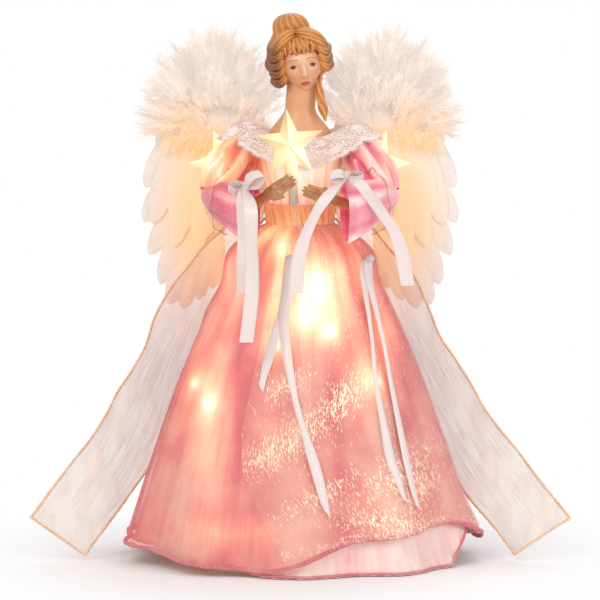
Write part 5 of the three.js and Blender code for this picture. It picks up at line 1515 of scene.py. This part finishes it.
# Painted shade on the lids and beside the nose, stronger on one side, and painted highlights on the nose
# ridge, the chin and the forehead.
shade = 0.5 * hill(w, z, 6.3, 3.2, 3.4, 1.2) * front
shade += 0.55 * hill(x, z, -2.3, -2.5, 0.9, 4.5) + 0.3 * hill(x, z, 2.4, -4.5, 0.8, 3)
shine = 0.6 * hill(x, z, 0.3, -2.5, 0.9, 4) + 0.5 * hill(x, z, 0, -15.5, 2.2, 1.4)
shine += 0.4 * hill(x, z, 0, 7, 6, 3)
eye_x, eye_z = w - 6.4, z - 0.9 + 0.05 * (w - 6.4)
opening = 1.15 * (1 - (eye_x / 2.5) ** 2)
inside = ease((opening - np.abs(eye_z + 0.15)) / 0.3 + 0.5) * (np.abs(eye_x) < 2.5) * front
lash = peak(eye_z - opening + 0.1, 0.33) * (np.abs(eye_x) < 2.6) * front
brow = peak(z - 5.6 + 0.075 * (w - 5.4) ** 2, 0.38)
brow = brow * ease((w - 2.4) / 0.8) * ease((10.2 - w) / 1.5) * front
bow = 0.28 * np.cos(1.6 * x) * (np.abs(x) < 2.2)
lips = ease((1 - (x / 3.3) ** 2 - ((z + 10.95) / (1.55 + bow)) ** 2) / 0.35 + 0.2) * front
# Coats of paint in their order: painted shade low on the chin and round the sides, painted shadow of the
# hair at the cheek edges, blush on the cheeks, painted shade on the lids and by the nose, painted
# highlights, painted shade in the nostrils, eyes with lashes, brows, lips
COATS = (
    ("#da9064", 0.6 * ease((-z - 12) / 6) + 0.5 * (1 - front)),
    ("#c48658", 0.7 * ease((-x - 6.5) / 6) + 0.35 * ease((x - 8) / 6)),
    ("#e4866a", 0.5 * hill(w, z, 8.2, -4.6, 3.2, 3.4) * front),
    ("#cf8860", shade),
    ("#fde0c4", shine),
    ("#b77a5c", 0.7 * hill(w, z, 1.2, -6.9, 0.7, 0.4) * front),
    ("#e2d0c2", 0.9 * inside),
    ("#3b2418", inside * ease((1.6 - np.hypot(eye_x, eye_z + 0.1)) / 0.35 + 0.5)),
    ("#33201a", 0.95 * lash),
    ("#8a5a38", 0.85 * brow),
    ("#d4513f", 0.92 * lips),
    ("#9c2f28", 0.7 * lips * peak(z + 11.0, 0.28)),
)
paint = plain_paint("#e5aa7e", x.shape)
for colour, share in COATS:
    paint = colour_mix(paint, colour, share)
face_points, face_paint = on_head(points * np.array([1.12, 1.03, 1.07]) + np.array([0, -0.6, -1.7])), paint
print("face paint")

# %% Neck and shoulders
a, v = ring_grid(110, 70)
z = mix(300.8, 350.0, v)
slope = ease((z - 307.4) / 21)
rx, ry = mix(22.8, 10.9, slope), mix(14.8, 10.6, slope)
collarbone = 0.7 * peak(z - 312, 2.4) * np.cos(a) ** 2
collarbone = collarbone * (np.abs(np.sin(a)) > 0.25) * (np.cos(a) > 0)
points = around(a, rx + collarbone, ry + collarbone, z)
points[..., 0] += 1.2 * ease((z - 322) / 25)
# Painted shade high under the chin and round the sides of the neck, and a little in the hollow at the base of
# the throat.
paint = plain_paint("#e4a879", z.shape)
paint = colour_mix(paint, "#d28f60", 0.6 * ease((z - 336) / 10) + 0.6 * np.abs(np.sin(a)) ** 3)
paint = colour_mix(paint, "#dda274", 0.5 * hill(points[..., 0], z, 0, 311, 3, 4) * (np.cos(a) > 0))
neck_points, neck_paint = points, paint
print("neck grid", points.shape[:2])

# %% Painted head and bust
# Cast polyresin, painted in matt enamel: smooth, softly glossy, with faint brush unevenness.
painted_resin, tree, shader = start_material("painted_cast_resin", {"Roughness": 0.42, "Coat Weight": 0.12})
coord = node(tree, "TexCoord")
colour = node(tree, "VertexColor", layer_name="paint")
brush = node(tree, "TexNoise", {"Scale": 420.0, "Detail": 2.0, "Vector": coord.outputs["Object"]})
soft_tone = node(tree, "MapRange",
                 {"From Min": 0.3, "From Max": 0.7, "To Min": 0.96, "To Max": 1.03, "Value": brush})
brushed = node(tree, "VectorMath", {0: colour, "Scale": soft_tone}, operation="SCALE")
feed(shader, {"Base Color": brushed})
relief_node = node(tree, "Bump", {"Strength": 0.08, "Distance": 0.0003, "Height": brush})
feed(shader, {"Normal": relief_node})


def painted_mesh(name, grids):
    """One mesh from several closed (rows, columns) grids, each with a colour per point."""
    points, faces, colours, start = [], [], [], 0
    for grid, paint in grids:
        rows, cols = grid.shape[:2]
        ring, _, _ = grid_faces(rows, cols, True)
        faces += [list(f) for f in ring + start]
        faces += [list(range(start, start + cols))[::-1],
                  list(range(start + (rows - 1) * cols, start + rows * cols))]
        points.append(grid.reshape(-1, 3))
        colours.append(paint.reshape(-1, 3))
        start += rows * cols
    obj = new_object(name, np.concatenate(points), faces)
    colours = np.concatenate(colours)
    layer = obj.data.color_attributes.new("paint", "FLOAT_COLOR", "POINT")
    layer.data.foreach_set("color", np.hstack([colours, np.ones((len(colours), 1))]).ravel())
    return obj


bust = painted_mesh("face_and_bust", [(face_points, face_paint), (neck_points, neck_paint)])
dress(bust, painted_resin, "figure", "painted_resin", "head_and_bust")
print("face and bust:", len(bust.data.polygons), "faces")

# %% Locks of hair
HAIR_SHADE, HAIR_DARK, HAIR_MID, HAIR_LIGHT = "#6a3612", "#8c4a1c", "#c97c34", "#e8a95e"


def hair_paint(groove, local):
    """Painted shade in the grooves, painted highlight on the ridges, and painted shade low at the sides."""
    base = colour_mix(plain_paint(HAIR_DARK, groove.shape), HAIR_MID, ease(groove / 0.5))
    base = colour_mix(base, HAIR_LIGHT, 0.8 * ease((groove - 0.55) / 0.45))
    shade = 0.85 * ease((np.abs(local[..., 0] - 2) - 13) / 9) * ease((24 - local[..., 2]) / 12)
    return colour_mix(base, HAIR_SHADE, shade)


def lock(path, radii, grooves=6, depth=0.1, twist=0.0, count=40, sides=26):
    """Grooved tapering lock along points of the upright head."""
    line = smooth_line(np.hstack([np.array(path, float), np.array(radii, float)[:, None]]), count)
    rings = tube_grid(line[:, :3], 1.0, sides)
    around_lock = np.linspace(0, 2 * np.pi, sides, endpoint=False)[None, :]
    phase = grooves * around_lock + twist * np.linspace(0, 1, count)[:, None]
    groove = 0.5 + 0.5 * np.cos(phase)
    r = line[:, 3:] * (1 + depth * (2 * groove - 1))
    points = line[:, None, :3] + (rings - line[:, None, :3]) * r[..., None]
    return on_head(points), hair_paint(0.25 + 0.75 * groove, points)


print("lock function ready")

# %% Hair of the head
# Rings of the main mass: height above the face's centre, middle x and y, half widths
MASS = np.array([(-14, -4, 9, 8, 9), (-10, -2.5, 8.5, 17, 14), (-4, -1.6, 8.0, 21.3, 18.5),
                 (4, -1.4, 7.4, 22.2, 19.4), (11, -1.6, 6.6, 21, 19.6), (17, -2.0, 5.6, 18.0, 17.8),
                 (22, -2.4, 5.2, 14.6, 14.6), (25, -2.7, 5.0, 12.9, 13.2), (29, -3.0, 5.0, 12.2, 12.8),
                 (33.2, -3.4, 5.0, 10.2, 10.4), (36.4, -3.6, 5.0, 5.8, 5.8), (37.3, -3.6, 5.0, 0.6, 0.6)])
mass = smooth_line(MASS * np.array([1, 1, 1, 1.03, 1]), 130)
a = np.linspace(0, 2 * np.pi, 260, endpoint=False)[None, :]
level = mass[:, :1]
bun = ease((level - 17) / 5)
combed = 9 * np.cos(a) + 0.28 * level
loose = 5.0 * combed + 2 * np.sin(0.3 * level + 2 * a)
strand = 0.5 + 0.5 * np.cos(np.where(level > 19.5, 14 * a + 0.22 * (level - 19), loose))
wave = 0.5 + 0.5 * np.sin(0.44 * level + 2.2 * np.cos(a) + 0.6 * np.sin(3 * a))
size = 1 + mix(0.008, 0.045, bun) * (2 * strand - 1) + 0.05 * (2 * wave - 1) * (1 - bun)
points = np.stack(np.broadcast_arrays(mass[:, 1:2] + mass[:, 3:4] * size * np.sin(a),
                                      mass[:, 2:3] - mass[:, 4:5] * size * np.cos(a), level), -1)
# Painted light on the crests of the waves and strands and shade between them; on the bun, by its strands
# alone.
bright = mix(0.2 + 0.35 * strand + 0.5 * wave, 0.35 + 0.45 * strand, bun)
grids = [(on_head(points), hair_paint(bright, points))]
# Two soft waves from the parting and a stack of rolls on each side
for side in (-1, 1):
    for k in range(2):
        path = [(side * 0.6 - 1.5, -9.5 + k, 24.2 - 2.2 * k), (side * 6.6 - 1.5, -13.2 + k, 23.4 - 2.8 * k),
                (side * (12.4 + 0.6 * k) - 0.6, -11 + k, 19.6 - 3.2 * k),
                (side * (17 + k), -5, 13.8 - 3.5 * k), (side * 18.8, 3, 10 - 3.5 * k)]
        grids.append(lock(path, [1.6, 3.4, 3.8, 3.4, 1.6], 7, 0.05, side * (3 + k), 44, 28))
    for k, level in enumerate((9.5, 3.5, -2.5, -8.5) if side < 0 else (9.5, 3.5, -2.0)):
        path = [(side * (13.4 - 0.12 * k * k), -11.6 + 0.8 * k, level + 2.2),
                (side * 15.6, -9.6 + 0.8 * k, level - 1.5), (side * 18.2, -4.5, level - 2.2),
                (side * 20, 2.5, level - 0.6), (side * 18, 9, level + 0.4)]
        grids.append(lock(path, [1.7, 3.3, 3.9, 3.9, 2.0], 7, 0.045, side * 4, 40, 28))
# Curls of the fringe: middle x, and height of the tip
CURLS = ((-10.6, 8.4), (-7.4, 9.0), (-4.2, 8.2), (-1.2, 9.4), (2.0, 8.4), (5.2, 9.2), (8.4, 8.0), (11.2, 8.6))
for k, (x0, low) in enumerate(CURLS):
    lean = 0.8 * math.sin(2.3 * k)
    inward = 0.045 * x0 * x0
    path = [(0.72 * x0, -12.4 + 0.6 * inward, 19.5), (0.9 * x0, -15.2 + inward, 16),
            (x0 + lean, -16.2 + inward, 12.4), (x0 - lean, -16.1 + inward, low)]
    grids.append(lock(path, [1.5, 2.1, 1.9, 0.9], 5, 0.05, 3 + k, 26, 20))
# Back rolls and the ringlet on the shoulder
for k, level in enumerate((12, 5, -2, -9)):
    path = [(-16, 17, level), (0, 26.4 - 0.25 * (level - 5) ** 2 / 20, level - 1.5), (15, 17, level)]
    grids.append(lock(path, [2.4, 4.0, 2.4], 7, 0.1, 6 + k, 34))
path = [(12.6, -3.5, -9), (10.0, -6.5, -17), (9.2, -8.8, -26), (9.8, -11.4, -34), (9.6, -14.8, -42.5)]
grids.append(lock(path, [1.4, 2.2, 3.1, 3.2, 0.7], 4, 0.14, 16, 70, 24))
hair = painted_mesh("pinned_up_hair", grids)
dress(hair, painted_resin, "figure", "painted_resin", "head_and_bust")
print("hair:", len(grids), "locks and rolls,", len(hair.data.polygons), "faces")

# %% [markdown]
# ## Hands
# The hands are small resin castings held together under the star. Palm, fingers and thumb are drawn as
# capsules in the solid's own places, joined by a voxel remesh, which rounds the joints as a casting's would
# be, and then smoothed.

# %% Hands
# Cast resin, tinted brown and dry-brushed: satin, darker between the fingers.
BRUSHED = {"Roughness": 0.4, "Coat Weight": 0.15}
hand_resin = moulded("hand_tinted_resin", "#b07a4e", "#c79567", 160, BRUSHED, 0.02)


def capsule(name, start, end, r0, r1):
    reach = np.linspace(0, 1, 14)
    line = np.array([mix(np.array(start, float), np.array(end, float), t) for t in reach])
    round_ends = np.sqrt(np.clip(1 - np.maximum(0, (np.abs(reach - 0.5) - 0.36) / 0.14) ** 2, 0.02, 1))
    return tube(name, line, mix(r0, r1, reach) * round_ends, 12)


for side, label in SIDES:
    wrist, tip = WRISTS[side], FINGERTIPS[side]
    long = np.linalg.norm(tip - wrist)
    aim = np.array(Vector((0, 0, 1)).rotation_difference(Vector(unit(tip - wrist))).to_matrix())
    palm = 0.36 * long
    parts = [capsule("palm", (0, 0, -14), (0, 0, palm + 5), 3.3, 4.4)]
    for x in (-2.6, 2.6):
        parts.append(capsule("palm_side", (x, 0, palm - 4), (x, 0, palm + 6.5), 2.7, 2.6))
    for k in range(4):
        x = (k - 1.5) * 3.0
        end = long - (2.6 if k in (0, 3) else 0.2)
        parts.append(capsule(f"finger_{k}", (x * 0.95, 0, palm + 2), (x * 0.9, 0.9, end), 1.5, 1.1))
    parts.append(capsule("thumb", (side * 4.2, -0.5, palm - 3), (side * 7.2, -1.5, palm + 6.5), 1.8, 1.3))
    hand = joined(label + "_hand_parts", parts)
    modifier = hand.modifiers.new("skin", "REMESH")
    modifier.mode = "VOXEL"
    modifier.voxel_size = 0.5 * MM
    smooth = hand.modifiers.new("smooth", "SMOOTH")
    smooth.iterations = 3
    cast = bpy.data.meshes.new_from_object(hand.evaluated_get(bpy.context.evaluated_depsgraph_get()))
    bpy.data.objects.remove(hand)
    at = np.empty(len(cast.vertices) * 3)
    cast.vertices.foreach_get("co", at)
    world = (at.reshape(-1, 3) / MM) @ aim.T + wrist
    cast.vertices.foreach_set("co", (world * np.array([side, 1, 1]) * MM).ravel())
    if side < 0:
        cast.flip_normals()
    cast.polygons.foreach_set("use_smooth", [True] * len(cast.polygons))
    cast.update()
    hand = bpy.data.objects.new(label + "_cast_hand", cast)
    bpy.context.collection.objects.link(hand)
    dress(hand, hand_resin, label + "_arm", "hand_resin", label + "_hand")
    print(label, "hand:", len(cast.polygons), "faces")

# %% [markdown]
# ## Lace collar
# The collar is white machine lace with scallops at its edge. Lace is mostly holes, so its threads are drawn
# by the material: a net of fine cells about 1.3 mm wide, solid flower shapes about 10 mm apart, and a
# closed border. Small thread loops, picots, stand along the edge and are set by the repeat tree.

# %% Lace
# Polyester raschel lace: matt white thread, open net, raised flowers.
lace, tree, shader = start_material("polyester_raschel_lace", {"Roughness": 0.85, "Sheen Weight": 0.3})
coord = node(tree, "TexCoord")
net = node(tree, "TexVoronoi", {"Scale": 760.0, "Vector": coord.outputs["UV"]}, feature="DISTANCE_TO_EDGE")
flower = node(tree, "TexVoronoi", {"Scale": 105.0, "Vector": coord.outputs["UV"]}, feature="F1")
petals = node(tree, "TexNoise", {"Scale": 330.0, "Detail": 1.0, "Vector": coord.outputs["UV"]})
rough_edge = node(tree, "Math", {0: petals, 1: 0.35, 2: flower}, operation="MULTIPLY_ADD")
solid_flower = node(tree, "MapRange",
                    {"From Min": 0.5, "From Max": 0.58, "To Min": 1.0, "To Max": 0.0, "Value": rough_edge})
threads = node(tree, "MapRange",
               {"From Min": 0.1, "From Max": 0.2, "To Min": 1.0, "To Max": 0.0, "Value": net})
border = node(tree, "Attribute", attribute_name="border")
filled = node(tree, "Math", {0: threads, 1: solid_flower}, operation="MAXIMUM")
cover = node(tree, "Math", {0: filled, 1: border.outputs["Fac"]}, operation="MAXIMUM")
see = node(tree, "MapRange", {"To Min": 0.6, "To Max": 1.0, "Value": cover})
feed(shader, {"Alpha": see})
tone = node(tree, "ValToRGB", {"Fac": petals}, ((0.3, "#f0d6ca"), (0.6, "#fbeee4")))
# Between the threads lies a thin backing, rose in patches.
patch = node(tree, "TexNoise", {"Scale": 62.0, "Detail": 1.0, "Vector": coord.outputs["Object"]})
rosy = node(tree, "MapRange", {"From Min": 0.5, "From Max": 0.62, "Value": patch})
backing = node(tree, "Mix", {"A": srgb("#eec4b4"), "B": srgb("#e8949c"), 0: rosy}, data_type="RGBA")
backed = node(tree, "Mix", {0: cover, "A": backing.outputs["Result"], "B": tone}, data_type="RGBA")
feed(shader, {"Base Color": backed.outputs["Result"]})
relief_node = node(tree, "Bump", {"Strength": 0.5, "Distance": 0.0006, "Height": cover})
feed(shader, {"Normal": relief_node})
print("raschel lace")

# %% Lace collar with picots
a, v = ring_grid(360, 34)
ahead, beside = np.maximum(0, np.cos(a)) ** 4, np.sin(a) ** 2
depth = mix(18, 31, (1 + np.cos(a)) / 2)
scallop = 1.8 * v * np.cos(10 * a) + v ** 6 * (2.4 * np.abs(np.sin(20 * a)) - 1.2)
ripple = 0.8 * v * np.cos(20 * a + 0.4) * beside
rx, ry = mix(23.3, 58 + scallop, v), mix(15.3, depth + scallop, v)
z = 308.1 + 11 * np.sin(np.pi * v) * beside - v * (1 + 21 * ahead) + ripple
points = around(a, rx, ry, z)
collar = cloth("lace_collar_cloth", points, True, False, {"border": ease((v - 0.9) / 0.06)})
dress(collar, lace, "figure", "lace", "lace_collar")
loop_turn = np.linspace(0, 2 * np.pi, 9)[:-1]
loop_line = tube_grid(np.stack([0.9 * np.cos(loop_turn), 0.6 * np.sin(loop_turn), 0 * loop_turn], 1), 0.22, 4,
                      True)
loop_faces, _, _ = grid_faces(9, 4, True)
picot = new_object("picot_shape", loop_line.reshape(-1, 3), loop_faces % 32)
rim = points[-1]
edge = np.gradient(rim, axis=0)
out = rim - points[-3]
rim_normal = np.cross(edge, out)
frames = frames_along(edge[::2], rim_normal[::2])
picots = repeat("lace_picots", picot, rim[::2] + 0.4 * out[::2], frames, (1, 1, 1), lace, 0.15, 4)
mark(picots.data, "border", np.ones(len(picots.data.vertices)))
dress(picots, lace, "figure", "lace")
print("collar", round(area_of(collar), 4), "m2, picots:", len(rim) // 2)

# %% Finish
bpy.context.scene.view_settings.view_transform = "Standard"
